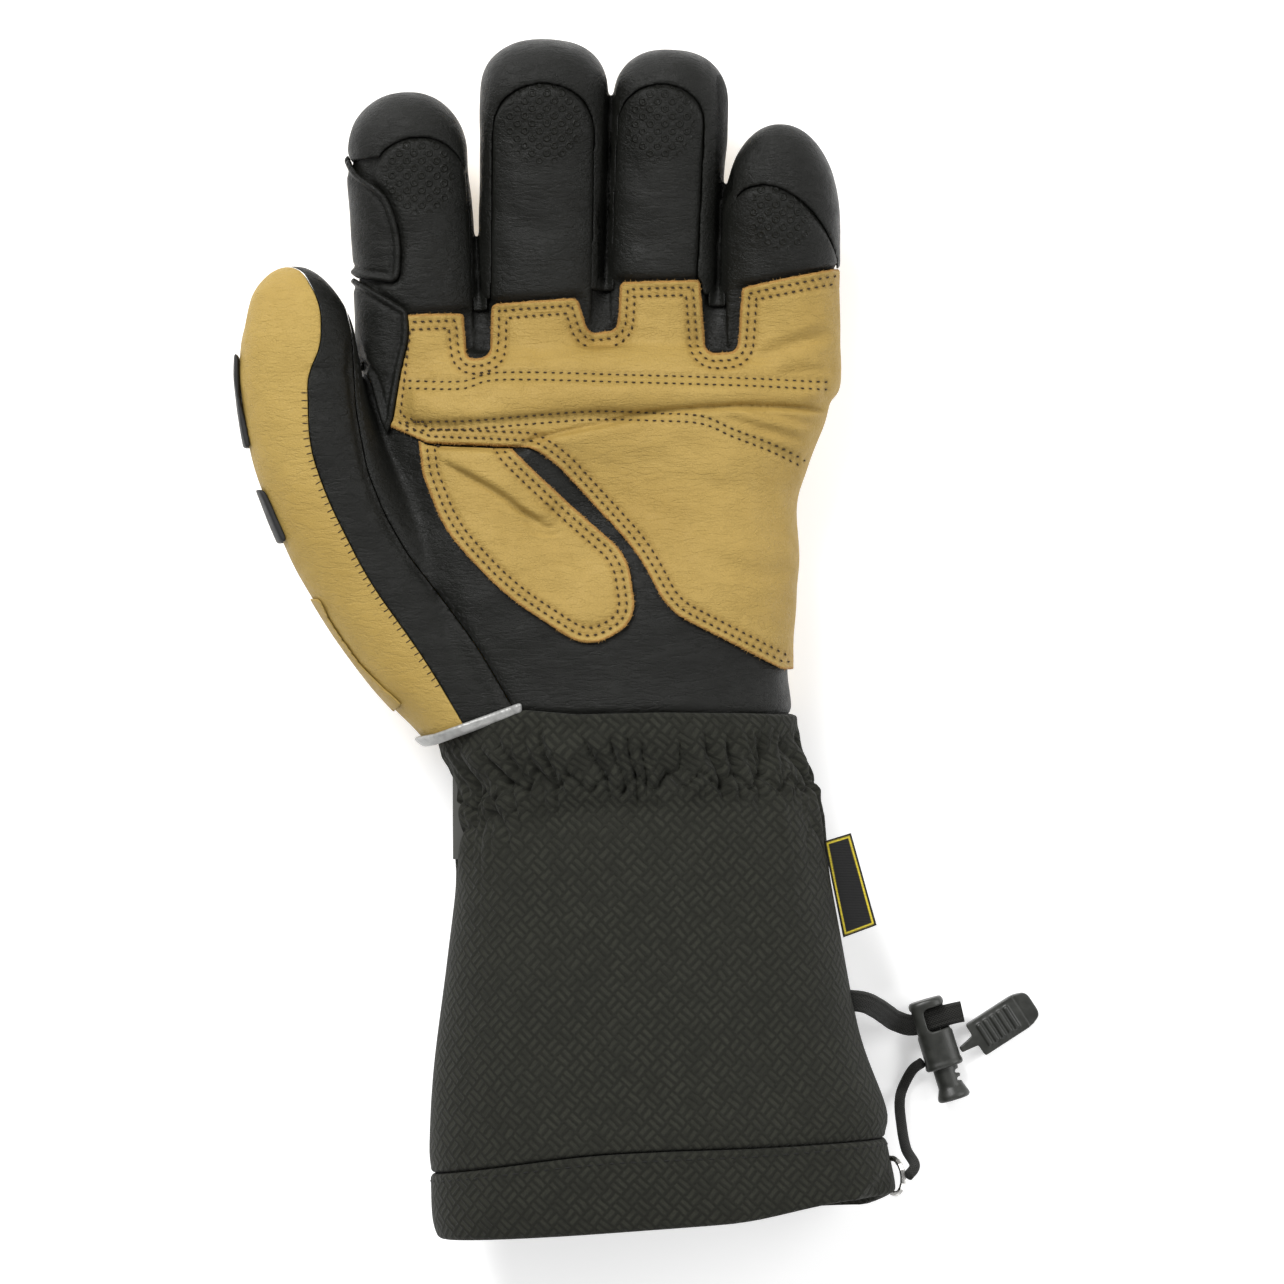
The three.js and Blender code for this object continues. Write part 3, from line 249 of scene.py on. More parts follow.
# The lower edge of the padded bar: the stitched row, then the fold that hides it.
BAR_FOOT = [
    (-0.495, 0.787), (-0.338, 0.789), (-0.197, 0.802), (-0.056, 0.813), (0.05, 0.818), (0.15, 0.828),
    (0.3, 0.836), (0.484, 0.828),
]
BAR_ROW_LOW = [
    (-0.495, 0.791), (-0.338, 0.793), (-0.197, 0.806), (-0.056, 0.817), (0.086, 0.814), (0.192, 0.806),
    (0.264, 0.773), (0.356, 0.734), (0.44, 0.69),
]
ROW_APART = 2.1
# The line along which the palm's lower panel folds over the foot of the bar.
PANEL_FOLD = [
    (-0.5, 0.72), (-0.412, 0.73), (-0.242, 0.723), (-0.19, 0.745), (-0.111, 0.767), (-0.006, 0.792),
    (0.086, 0.815), (0.299, 0.832), (0.484, 0.824), (0.6, 0.82),
]
WEB_FOLD = [(-0.42, 0.7), (-0.389, 0.679), (-0.28, 0.612), (-0.19, 0.539), (-0.137, 0.51)]
# Small creases: their lines, how deep and how wide in millimetres.
SMALL_CREASES = [
    ([(0.184, 0.825), (0.302, 0.782), (0.413, 0.749), (0.466, 0.731)], 0.9, 1.5),
    ([(0.276, 0.83), (0.4, 0.797), (0.483, 0.782), (0.52, 0.77)], 0.8, 1.2),
    ([(0.309, 0.951), (0.387, 0.988), (0.45, 1.01), (0.515, 1.03)], 1.0, 1.8),
    ([(0.348, 0.907), (0.43, 0.925), (0.51, 0.93)], 0.5, 1.3),
    ([(0.2, 0.965), (0.28, 0.955), (0.36, 0.968)], 0.4, 1.4),
    ([(-0.25, 0.575), (-0.19, 0.545), (-0.15, 0.535)], 0.5, 0.7),
    ([(-0.235, 0.545), (-0.18, 0.522), (-0.13, 0.523)], 0.45, 0.7),
    ([(-0.215, 0.52), (-0.165, 0.503), (-0.12, 0.505)], 0.4, 0.7),
    ([(-0.2, 0.6), (-0.155, 0.565), (-0.12, 0.55)], 0.45, 0.8),
    ([(-0.46, 0.86), (-0.36, 0.85), (-0.27, 0.86)], 0.35, 1.6),
    ([(0.2, 0.44), (0.32, 0.40), (0.43, 0.42)], 0.4, 2.2),
    ([(0.1, 0.66), (0.25, 0.62), (0.42, 0.63)], 0.35, 2.6),
]
THUMB_SEAM = [
    (-0.613, 1.019), (-0.611, 0.923), (-0.602, 0.822), (-0.576, 0.666), (-0.537, 0.555), (-0.484, 0.451),
    (-0.384, 0.306), (-0.322, 0.21), (-0.245, 0.06), (-0.222, 0.02),
]
THUMB_CROSS_SEAM = [(-0.72, 0.923), (-0.613, 0.92)]


def unit(v):
    return v / np.linalg.norm(v, axis=-1, keepdims=True)


def through(rows, count):
    """A smooth curve through the rows of a table, as count rows."""
    rows = np.asarray(rows, float)
    t = np.linspace(0, len(rows) - 1, count)
    i = np.clip(t.astype(int), 0, len(rows) - 2)
    f = (t - i)[:, None]
    a, b = rows[np.clip(i - 1, 0, None)], rows[i]
    c, d = rows[i + 1], rows[np.clip(i + 2, None, len(rows) - 1)]
    return 0.5 * (2 * b + (c - a) * f + (2 * a - 5 * b + 4 * c - d) * f**2 + (3 * b - a - 3 * c + d) * f**3)


def row_at(rows, along):
    return np.array([np.interp(along, rows[:, 0], column) for column in rows.T])


def power(v, p):
    return np.sign(v) * np.abs(v) ** p


def oval(middle, side, up, half, low, high, boxy, flat, count):
    turn = np.arange(count) / count * 2 * np.pi
    exponent = np.where(np.sin(turn) < 0, 2 / flat, 2 / boxy)
    across = half * power(np.cos(turn), exponent)
    upward = np.where(np.sin(turn) < 0, low, high) * power(np.sin(turn), exponent)
    return middle + across[:, None] * side + upward[:, None] * up, turn


def loft(rings):
    """Points and faces of a closed tube through rings, with a fan over each end."""
    rings = np.asarray(rings)
    n, count = rings.shape[:2]
    points = np.vstack([rings.reshape(-1, 3), rings[0].mean(0), rings[-1].mean(0)])
    faces = []
    for r in range(n - 1):
        for i in range(count):
            j = (i + 1) % count
            faces.append((r * count + i, r * count + j, (r + 1) * count + j, (r + 1) * count + i))
    for i in range(count):
        j = (i + 1) % count
        faces.append((n * count, j, i))
        faces.append((n * count + 1, (n - 1) * count + i, (n - 1) * count + j))
    return points, faces


X = np.array((1.0, 0, 0))
Z = np.array((0, 0, 1.0))


def relief(x, y):
    total = 0
    for rx, ry, wide, tall, height in PALM_RELIEF:
        total = total + height * PALM_DEPTH * np.exp(
            -((x / PALM_WIDTH - rx) / wide) ** 2 - ((y / PALM_LENGTH - ry) / tall) ** 2)
    return total


def palm_form(grow, count=120):
    rings = []
    rows = through(PALM_ROWS, 90)
    for k, (along, left, right, top, wrist, bottom) in enumerate(rows):
        left = left * PALM_WIDTH * (1 - wrist) - WRIST_WIDTH / 2 * wrist - grow
        right = right * PALM_WIDTH * (1 - wrist) + WRIST_WIDTH / 2 * wrist + grow
        depth = top * PALM_DEPTH * (1 - wrist) + WRIST_DEPTH * wrist + 1
        bottom = bottom * depth
        high = (depth - bottom) / 2 + grow
        y = along * PALM_LENGTH + (grow if k == len(rows) - 1 else 0)
        middle = np.array(((left + right) / 2, y, (depth + bottom) / 2 - 1))
        ring, turn = oval(middle, X, Z, (right - left) / 2, high + SKIN, high, 2.5, 3, count)
        ring[:, 2] += np.clip(np.sin(turn), 0, None) * relief(ring[:, 0], ring[:, 1])
        rings.append(ring)
    return loft(rings)


def finger_line(finger):
    root, length, lean = finger[1:4]
    lean = math.radians(lean)
    start = np.array((root * PALM_WIDTH, ROOT_ALONG * PALM_LENGTH, ROOT_HEIGHT * PALM_DEPTH))
    side = np.array((math.cos(lean), -math.sin(lean), 0))
    forward = np.array((math.sin(lean), math.cos(lean), 0))
    return length * FINGER_LENGTH, start, side, forward


def finger_form(finger, grow, count=72):
    base, end, dome, squareness, rise = finger[4:9]
    length, start, side, forward = finger_line(finger)
    base, dome, end = base * FINGER_WIDTH / 2, dome * end * FINGER_WIDTH, end * FINGER_WIDTH / 2
    straight = np.linspace(0, 1 - dome / length, 26)
    steps = [(t, 1.0) for t in straight]
    steps[0] = (-grow / length, 0.94)
    for turn in np.radians(np.linspace(4, 88, 20)):
        back = (dome + grow) * (1 - math.sin(turn) ** (2 / squareness))
        steps.append((1 + (grow - back) / length, math.cos(turn) ** (2 / squareness)))
    rings = []
    for t, shrink in steps:
        middle = start + forward * t * length + Z * rise * length * t * t
        slope = unit(forward + Z * 2 * rise * min(t, 1))
        up = np.cross(side, slope)
        width = base + (end - base) * t
        half = (width + grow) * shrink
        deep = (width * FINGER_DEPTH / FINGER_WIDTH + grow) * shrink
        rings.append(oval(middle, side, up, half, deep, deep, 2.3, 2.3, count)[0])
    return loft(rings)


def thumb_form(grow, count=80):
    rows = through(THUMB_ROWS[:-1], 46)
    spine = rows[:, [0, 1, 4]] * (-THUMB_REACH, THUMB_LENGTH, PALM_DEPTH)
    tip = THUMB_ROWS[-1, [0, 1, 4]] * (-THUMB_REACH, THUMB_LENGTH, PALM_DEPTH)
    sizes = rows[:, 2:4] * (THUMB_WIDTH / 2, THUMB_DEPTH / 2) + grow
    ahead = unit(np.gradient(spine, axis=0))
    to_tip = unit(tip - spine[-1])
    dome = THUMB_DOME * THUMB_WIDTH + grow
    rings = []
    for middle, (half, deep), forward in zip(spine, sizes, ahead):
        side = unit(np.cross(forward, Z))
        rings.append(oval(middle, side, np.cross(side, forward), half, deep, deep, 2.3, 2.3, count)[0])
    side = unit(np.cross(to_tip, Z))
    for turn in np.radians(np.linspace(6, 88, 22)):
        back = dome * (1 - math.sin(turn) ** (2 / THUMB_POWER)) - grow
        shrink = math.cos(turn) ** (2 / THUMB_POWER)
        middle = tip - to_tip * back
        if np.dot(middle - spine[-1], to_tip) < 0.6:
            continue
        half, deep = sizes[-1] * shrink
        rings.append(oval(middle, side, np.cross(side, to_tip), half, deep, deep, 2.3, 2.3, count)[0])
    return loft(rings)


# Meshes and booleans
def make_mesh(name, points, faces):
    mesh = bpy.data.meshes.new(name)
    mesh.from_pydata(np.asarray(points).tolist(), [], faces if isinstance(faces, list) else faces.tolist())
    mesh.update()
    return mesh


def temp_object(mesh, name="temp"):
    thing = bpy.data.objects.new(name, mesh)
    bpy.context.scene.collection.objects.link(thing)
    return thing


def drop(thing):
    mesh = thing.data
    bpy.data.objects.remove(thing)
    if mesh.users == 0:
        bpy.data.meshes.remove(mesh)


def joined(parts, name="joined"):
    points, faces, offset = [], [], 0
    for p, f in parts:
        points.append(np.asarray(p))
        faces += [tuple(i + offset for i in face) for face in f]
        offset += len(p)
    return make_mesh(name, np.vstack(points), faces)


def baked(mesh, add):
    """The mesh after the modifiers that add puts on an object of it."""
    thing = temp_object(mesh.copy())
    add(thing)
    graph = bpy.context.evaluated_depsgraph_get()
    done = bpy.data.meshes.new_from_object(thing.evaluated_get(graph))
    drop(thing)
    return done


def remeshed(mesh, voxel):
    def add(thing):
        step = thing.modifiers.new("remesh", "REMESH")
        step.mode = "VOXEL"
        step.voxel_size = voxel
        step.use_smooth_shade = True
    return baked(mesh, add)


def boolean(mesh, cutter, operation):
    def add(thing):
        tool = temp_object(cutter.copy(), "cutter")
        step = thing.modifiers.new("cut", "BOOLEAN")
        step.operation = operation
        step.solver = "MANIFOLD"
        step.object = tool
        tools.append(tool)
    tools = []
    done = baked(mesh, add)
    for tool in tools:
        drop(tool)
    return done


def points_of(mesh):
    flat = np.empty(len(mesh.vertices) * 3, np.float32)
    mesh.vertices.foreach_get("co", flat)
    return flat.reshape(-1, 3).astype(float)


def normals_of(mesh):
    flat = np.empty(len(mesh.vertices) * 3, np.float32)
    mesh.vertex_normals.foreach_get("vector", flat)
    return flat.reshape(-1, 3).astype(float)


def set_points(mesh, points):
    mesh.vertices.foreach_set("co", np.ascontiguousarray(points, np.float32).ravel())
    mesh.update()


def relaxed(mesh, times, strength=0.5):
    """Move each point towards the middle of its neighbours."""
    edges = np.empty(len(mesh.edges) * 2, np.int32)
    mesh.edges.foreach_get("vertices", edges)
    a, b = edges.reshape(-1, 2).T
    points = points_of(mesh)
    n = len(points)
    degree = np.maximum(np.bincount(a, minlength=n) + np.bincount(b, minlength=n), 1)[:, None]
    for _ in range(times):
        total = np.stack([
            np.bincount(a, points[b, k], n) + np.bincount(b, points[a, k], n) for k in range(3)], 1)
        points += strength * (total / degree - points)
    set_points(mesh, points)


def lumps(points, size, seed, octaves=5):
    """A soft irregular wave of about -1 to 1 over points, its features about size apart."""
    rng = np.random.default_rng(seed)
    total = np.zeros(len(points))
    for _ in range(octaves):
        direction = unit(rng.normal(size=3)) * 2 * np.pi / (size * rng.uniform(0.7, 1.5))
        warp = unit(rng.normal(size=3)) * 2 * np.pi / (size * 1.7)
        total += np.sin(points @ direction + rng.uniform(0,
            6.3) + 1.3 * np.sin(points @ warp + rng.uniform(0, 6.3)))
    return total / octaves


# Outlines
def outline(rows, width, length, grow=0.0):
    """Points round an outline whose corners are rounded, moved outwards by grow."""
    corners = np.array([(x * width, y * length) for x, y, _ in rows])
    line = []
    for i, corner in enumerate(corners):
        before = corners[i - 1] - corner
        after = corners[(i + 1) % len(corners)] - corner
        reach = min(rows[i][2] * width, 0.45 * np.linalg.norm(before), 0.45 * np.linalg.norm(after))
        if reach == 0:
            line.append(corner)
            continue
        start, stop = corner + unit(before) * reach, corner + unit(after) * reach
        for t in np.linspace(0, 1, 9):
            line.append((1 - t) ** 2 * start + 2 * t * (1 - t) * corner + t * t * stop)
    line = np.array(line)
    ahead = unit(np.roll(line, -1, 0) - np.roll(line, 1, 0))
    area = np.sum(line[:, 0] * np.roll(line[:, 1], -1) - line[:, 1] * np.roll(line[:, 0], -1))
    outward = np.stack([ahead[:, 1], -ahead[:, 0]], 1) * np.sign(area)
    return line + outward * grow


def on_palm(rows, grow=0.0):
    return outline(rows, PALM_WIDTH, PALM_LENGTH, grow)


def on_thumb(rows, grow=0.0):
    return outline(rows, THUMB_REACH, THUMB_LENGTH, grow)


def palm_line(rows, count=60):
    return through([(x * PALM_WIDTH, y * PALM_LENGTH) for x, y in rows], count)


def prism(line, low=-200.0, high=200.0):
    """A closed upright solid over a polygon."""
    n = len(line)
    points = np.vstack([np.column_stack([line, np.full(n, low)]),
        np.column_stack([line, np.full(n, high)])])
    area = np.sum(line[:, 0] * np.roll(line[:, 1], -1) - line[:, 1] * np.roll(line[:, 0], -1))
    order = list(range(n)) if area > 0 else list(range(n))[::-1]
    faces = [tuple(reversed(order)), tuple(i + n for i in order)]
    for k in range(n):
        i, j = order[k], order[(k + 1) % n]
        faces.append((i, j, j + n, i + n))
    mesh = make_mesh("prism", points, faces)
    return baked(mesh, lambda thing: thing.modifiers.new("flat", "TRIANGULATE"))


def box_mesh(low, high):
    line = np.array([(low[0], low[1]), (high[0], low[1]), (high[0], high[1]), (low[0], high[1])], float)
    return prism(line, low[2], high[2])


def seam_height(y):
    rows = np.array(SEAM_ROWS) * (PALM_LENGTH, PALM_DEPTH)
    return np.interp(y, rows[:, 0], rows[:, 1])


def below_seam(lift=0.0):
    rows = np.array(SEAM_ROWS) * (PALM_LENGTH, PALM_DEPTH)
    y = np.linspace(rows[0, 0], rows[-1, 0], 24)
    profile = np.vstack([np.column_stack([y, seam_height(y) + lift]), [(y[-1], -200), (y[0], -200)]])
    mesh = prism(profile, -200, 200)
    points = points_of(mesh)
    set_points(mesh, points[:, [2, 0, 1]])
    return mesh


def hand_side(back=0.0):
    line = np.array([(x * PALM_WIDTH, y * PALM_LENGTH + back) for x, y in WRIST_LINE])
    return prism(np.vstack([line, [(400, 400), (-400, 400)]]))


def line_side(points, line, closed=False):
    """Each point's distance from a line in plan, above 0 to its left, and its share of the way along."""
    line = np.asarray(line)
    ends = np.roll(line, -1, 0) if closed else line[1:]
    starts = line if closed else line[:-1]
    steps = ends - starts
    lengths = np.linalg.norm(steps, axis=1)
    travelled = np.concatenate([[0], np.cumsum(lengths)])
    best = np.full(len(points), 1e9)
    share = np.zeros(len(points))
    left = np.ones(len(points))
    for k, (start, step) in enumerate(zip(starts, steps)):
        gap = points[:, :2] - start
        t = np.clip((gap @ step) / max(lengths[k] ** 2, 1e-9), 0, 1)
        away = np.hypot(*(gap - t[:, None] * step).T)
        nearer = away < best
        best[nearer] = away[nearer]
        share[nearer] = (travelled[k] + t[nearer] * lengths[k]) / travelled[-1]
        left[nearer] = np.sign(step[0] * gap[nearer, 1] - step[1] * gap[nearer, 0])
    return best * left, share


def line_distance(points, line, closed=False):
    side, share = line_side(points, line, closed)
    return np.abs(side), share


def inside(points, line):
    x, y = points[:, 0], points[:, 1]
    hit = np.zeros(len(points), bool)
    for (x0, y0), (x1, y1) in zip(line, np.roll(line, -1, 0)):
        crosses = (y0 > y) != (y1 > y)
        with np.errstate(divide="ignore", invalid="ignore"):
            at = (x1 - x0) * (y - y0) / (y1 - y0) + x0
        hit ^= crosses & (x < at)
    return hit


def groove(points, normals, line, depth, width, up_only=True, fade=0.06):
    away, share = line_distance(points, line)
    ends = np.clip(np.minimum(share, 1 - share) / fade, 0, 1)
    facing = np.clip(normals[:, 2] * 3, 0, 1) if up_only else 1.0
    return points - normals * (depth * np.exp(-(away / width) ** 2) * ends * facing)[:, None]


def smoothstep(v, low, high):
    t = np.clip((v - low) / (high - low), 0, 1)
    return t * t * (3 - 2 * t)


# The place of the shapes in the row's frame
def cuff_side(along, sign):
    along, middle, wide, deep = row_at(CUFF_ROWS, along)
    return np.array((middle * CUFF_WIDTH + sign * wide * CUFF_WIDTH / 2, -along * CUFF_LENGTH,
        deep * CUFF_DEPTH / 2))


def turn_cuff(points):
    c, s = math.cos(CUFF_TILT), math.sin(CUFF_TILT)
    points = np.asarray(points, float)
    x, y = points[..., 0], points[..., 1]
    return np.stack([x * c - y * s, x * s + y * c, points[..., 2]], -1)


ring_centre = turn_cuff(cuff_side(RING_ALONG, 1) + (0.2, 0, CUFF_DEPTH * 0.05))
ring_low, ring_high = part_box("hem_ring")
SHIFT = np.array([(ring_low[k] + ring_high[k]) / 2 / MM - ring_centre[k] for k in range(2)] + [0.0])


def piece(name, mesh, material, replaces=(), body="glove", smooth=True):
    """The finished object of a mesh that was made in millimetres."""
    set_points(mesh, (points_of(mesh) + SHIFT) * MM)
    mesh.name = name
    mesh.materials.clear()
    mesh.materials.append(material)
    if smooth:
        mesh.shade_smooth()
    thing = bpy.data.objects.new(name, mesh)
    bpy.context.scene.collection.objects.link(thing)
    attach(thing, body)
    if replaces:
        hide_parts(*replaces)
    return thing


def attribute(mesh, name, values):
    layer = mesh.attributes.new(name, "FLOAT", "POINT")
    layer.data.foreach_set("value", np.ascontiguousarray(values, np.float32))


# Materials
class Nodes:
    """A material's node tree, with short ways to add to it."""

    def __init__(self, name):
        self.material = bpy.data.materials.new(name)
        self.material.use_nodes = True
        self.tree = self.material.node_tree
        self.shader = self.tree.nodes["Principled BSDF"]

    def add(self, kind, inputs=None, **settings):
        node = self.tree.nodes.new(kind)
        for key, value in settings.items():
            setattr(node, key, value)
        for key, value in (inputs or {}).items():
            self.put(node.inputs[key], value)
        return node

    def put(self, socket, value):
        if isinstance(value, bpy.types.NodeSocket):
            self.tree.links.new(value, socket)
        else:
            socket.default_value = value

    def math(self, operation, a, b=0.0, c=0.0, clamp=False):
        node = self.add("ShaderNodeMath", {0: a, 1: b, 2: c}, operation=operation, use_clamp=clamp)
        return node.outputs[0]

    def mix(self, factor, a, b):
        node = self.add("ShaderNodeMix", data_type="RGBA")
        self.put(node.inputs[0], factor)
        for socket, value in ((node.inputs[6], a), (node.inputs[7], b)):
            self.put(socket, (*value, 1) if isinstance(value, tuple) else value)
        return node.outputs[2]

    def place(self, scale=1000.0, turn=0.0, stretch=(1, 1, 1)):
        """Coordinates in millimetres over the object."""
        source = self.add("ShaderNodeTexCoord").outputs["Object"]
        node = self.add("ShaderNodeMapping", {"Vector": source})
        node.inputs["Scale"].default_value = [scale * s for s in stretch]
        node.inputs["Rotation"].default_value = (0, 0, turn)
        return node.outputs[0]

    def noise(self, where, scale, detail=3.0, rough=0.55):
        node = self.add("ShaderNodeTexNoise", {"Vector": where, "Scale": scale, "Detail": detail,
            "Roughness": rough})
        return node.outputs["Fac"]

    def cells(self, where, scale, feature="F1"):
        node = self.add("ShaderNodeTexVoronoi", {"Vector": where, "Scale": scale}, feature=feature)
        return node.outputs["Distance"]

    def ramp(self, value, low, high, to_low=0.0, to_high=1.0, kind="SMOOTHSTEP"):
        node = self.add("ShaderNodeMapRange", {0: value, 1: low, 2: high, 3: to_low, 4: to_high},
            interpolation_type=kind)
        return node.outputs[0]

    def named(self, name):
        return self.add("ShaderNodeAttribute", attribute_name=name).outputs["Fac"]

    def bump(self, height, distance, strength=1.0, over=None):
        """distance is the height in millimetres of a full step."""
        inputs = {"Height": height, "Distance": distance * MM, "Strength": strength}
        if over is not None:
            inputs["Normal"] = over
        return self.add("ShaderNodeBump", inputs).outputs[0]

    def finish(self, **values):
        for key, value in values.items():
            self.put(self.shader.inputs[key.replace("_", " ")], value)
        return self.material


def leather(name, base, worn, grain=1.0, rough=0.5, rim_colour=None, gloss=0.4, pads=False):
    """Grained leather. The attribute rim runs from 1 at a raw edge to 0 inside."""
    n = Nodes(name)
    where = n.place()
    cells = n.cells(where, 1.15 / grain, "DISTANCE_TO_EDGE")
    small = n.cells(where, 2.6 / grain, "DISTANCE_TO_EDGE")
    pores = n.noise(where, 3.2 / grain, 4)
    creases = n.noise(n.place(stretch=(0.16, 0.6, 0.6)), 1.0, 4, 0.65)
    broad = n.noise(where, 0.035, 4)
    patchy = n.noise(where, 0.16, 5, 0.6)
    grain_height = n.math("ADD", n.math("MULTIPLY", n.ramp(cells, 0, 0.16), 0.6),
        n.math("MULTIPLY", n.ramp(small, 0, 0.2), 0.3))
    grain_height = n.math("ADD", grain_height, n.math("MULTIPLY", pores, 0.6))
    cross_creases = n.noise(n.place(stretch=(0.09, 0.34, 0.34)), 1.0, 5, 0.6)
    wrinkle = n.math("ABSOLUTE", n.math("SUBTRACT", cross_creases, 0.5))
    normal = n.bump(n.ramp(wrinkle, 0, 0.07), 0.35, 0.4)
    normal = n.bump(creases, 0.5, 0.4, normal)
    normal = n.bump(grain_height, 0.11, 0.6, normal)
    colour = n.mix(n.ramp(broad, 0.35, 0.68), base, worn)
    colour = n.mix(n.math("MULTIPLY", n.ramp(patchy, 0.42, 0.7), 0.3), colour,
        tuple(c * 0.84 for c in base))
    colour = n.mix(n.math("MULTIPLY", n.ramp(cells, 0.1, 0), 0.22), colour, tuple(c * 0.6 for c in base))
    if rim_colour:
        rim = n.named("rim")
        fuzz = n.noise(where, 2.2, 4, 0.7)
        edge = n.math("MULTIPLY", n.ramp(rim, 0.2, 0.9), n.ramp(fuzz, 0.3, 0.6, 0.45, 1.0))
        colour = n.mix(edge, colour, rim_colour)
        dent = n.named("dent")
        band = n.named("band")
        colour = n.mix(n.math("MULTIPLY", band, 0.3), colour,
            tuple(c * k for c, k in zip(base, (0.82, 0.7, 0.5))))
        colour = n.mix(n.math("MULTIPLY", dent, 0.5), colour, tuple(c * 0.42 for c in base))
        normal = n.bump(fuzz, 0.5, n.math("MULTIPLY", n.ramp(rim, 0.3, 0.9), 0.8), normal)
    if pads:
        pad = n.named("pad")
        turned = n.place(turn=math.radians(45))
        split = n.add("ShaderNodeSeparateXYZ", {0: turned})
        cell = [n.math("SUBTRACT", n.math("FRACT", n.math("DIVIDE", split.outputs[k], PAD_CELL)),
            0.5) for k in range(2)]
        away = n.math("SQRT", n.math("ADD", n.math("MULTIPLY", cell[0], cell[0]),
            n.math("MULTIPLY", cell[1], cell[1])))
        ring = n.ramp(n.math("ABSOLUTE", n.math("SUBTRACT", away, 0.27)), 0.13, 0.02)
        raised = n.math("MULTIPLY", ring, pad)
        normal = n.bump(raised, 0.5, 0.9, normal)
        # The rings are painted lighter as well: a painted highlight on the raised rings of the pads.
        colour = n.mix(n.math("MULTIPLY", raised, 0.5), colour, tuple(c * 2.6 for c in base))
    roughness = n.ramp(patchy, 0.3, 0.75, rough - 0.06, rough + 0.1)
    return n.finish(Base_Color=colour, Roughness=roughness, Normal=normal, Specular_IOR_Level=gloss)


def dashes(n, u, v, pitch):
    """Short bars at plus and minus 45 degrees that alternate like basket work, as a height of 0 to 1."""
    along = n.math("MULTIPLY", n.math("ADD", u, v), 0.7071 / pitch)
    across = n.math("MULTIPLY", n.math("SUBTRACT", u, v), 0.7071 / pitch)
    fa, fb = n.math("FRACT", along), n.math("FRACT", across)
    odd = n.math("MODULO", n.math("ADD", n.math("ADD", n.math("FLOOR", along), n.math("FLOOR", across)),
        2000), 2)
    odd = n.math("GREATER_THAN", odd, 0.5)

    def bar(long_way, short_way):
        twice = n.math("FRACT", n.math("MULTIPLY", short_way, 2))
        middle = n.math("ABSOLUTE", n.math("SUBTRACT", twice, 0.5))
        end = n.math("ABSOLUTE", n.math("SUBTRACT", long_way, 0.5))
        return n.math("MULTIPLY", n.ramp(middle, 0.4, 0.16), n.ramp(end, 0.47, 0.36))

    first, second = bar(fa, fb), bar(fb, fa)
    return n.math("ADD", n.math("MULTIPLY", first, n.math("SUBTRACT", 1, odd)),
        n.math("MULTIPLY", second, odd))


def cuff_fabric(name, base):
    n = Nodes(name)
    uv = n.add("ShaderNodeUVMap", uv_map="cloth").outputs[0]
    split = n.add("ShaderNodeSeparateXYZ", {0: uv})
    u = n.math("MULTIPLY", split.outputs[0], 1000)
    v = n.math("MULTIPLY", split.outputs[1], 1000)
    where = n.place()
    wobble = n.noise(where, 0.25, 3)
    u = n.math("ADD", u, n.math("MULTIPLY", wobble, 1.6))
    height = dashes(n, u, v, WEAVE_CELL)
    thread_u = n.math("SINE", n.math("MULTIPLY", u, 2 * math.pi / 0.42))
    thread_v = n.math("SINE", n.math("MULTIPLY", v, 2 * math.pi / 0.42))
    threads = n.math("MULTIPLY", thread_u, thread_v)
    patchy = n.noise(where, 0.07, 5, 0.6)
    speckle = n.noise(where, 1.6, 4, 0.7)
    fine = n.noise(where, 4.0, 3)
    normal = n.bump(speckle, 0.22, 0.35)
    normal = n.bump(height, 0.3, n.ramp(patchy, 0.25, 0.75, 0.5, 0.95), normal)
    normal = n.bump(threads, 0.06, 0.45, normal)
    # Painted highlight and painted shade: the raised bars are painted lighter and the ground between them
    # darker. The speckle and worn noises make this highlight patchy, partly standing for real wear of the
    # bars.
    worn = n.noise(where, 0.19, 4, 0.6)
    lift = n.math("MULTIPLY", height, n.ramp(speckle, 0.3, 0.7, 0.35, 1.0))
    lift = n.math("MULTIPLY", lift, n.ramp(worn, 0.32, 0.62, 0.35, 1.0))
    colour = n.mix(lift, tuple(c * 0.8 for c in base), tuple(c * 1.9 for c in base))
    colour = n.mix(n.math("MULTIPLY", n.ramp(patchy, 0.4, 0.75), 0.3), colour,
        tuple(c * 1.35 for c in base))
    colour = n.mix(n.math("MULTIPLY", n.ramp(fine, 0.68, 0.8), 0.25), colour, tuple(c * 2.2 for c in base))
    roughness = n.ramp(speckle, 0.3, 0.7, 0.72, 0.92)
    return n.finish(Base_Color=colour, Roughness=roughness, Normal=normal, Sheen_Weight=0.04,
        Specular_IOR_Level=0.14)


def braid(name, base, pitch=0.9):
    n = Nodes(name)
    uv = n.add("ShaderNodeUVMap", uv_map="cloth").outputs[0]
    split = n.add("ShaderNodeSeparateXYZ", {0: uv})
    u = n.math("MULTIPLY", split.outputs[0], 1000 * 2 * math.pi / pitch)
    v = n.math("MULTIPLY", split.outputs[1], 1000 * 2 * math.pi / pitch)
    one = n.math("SINE", n.math("ADD", u, v))
    two = n.math("SINE", n.math("SUBTRACT", u, v))
    weave = n.math("MAXIMUM", one, two)
    fuzz = n.noise(n.place(), 3.0, 4, 0.7)
    normal = n.bump(weave, 0.16, 0.8)
    normal = n.bump(fuzz, 0.1, 0.5, normal)
    # Painted shade and painted highlight: the valleys between the strands are painted darker and the strand
    # tops lighter.
    colour = n.mix(n.ramp(weave, -0.2, 1), tuple(c * 0.5 for c in base), tuple(c * 1.7 for c in base))
    return n.finish(Base_Color=colour, Roughness=0.8, Normal=normal, Sheen_Weight=0.05,
        Specular_IOR_Level=0.25)


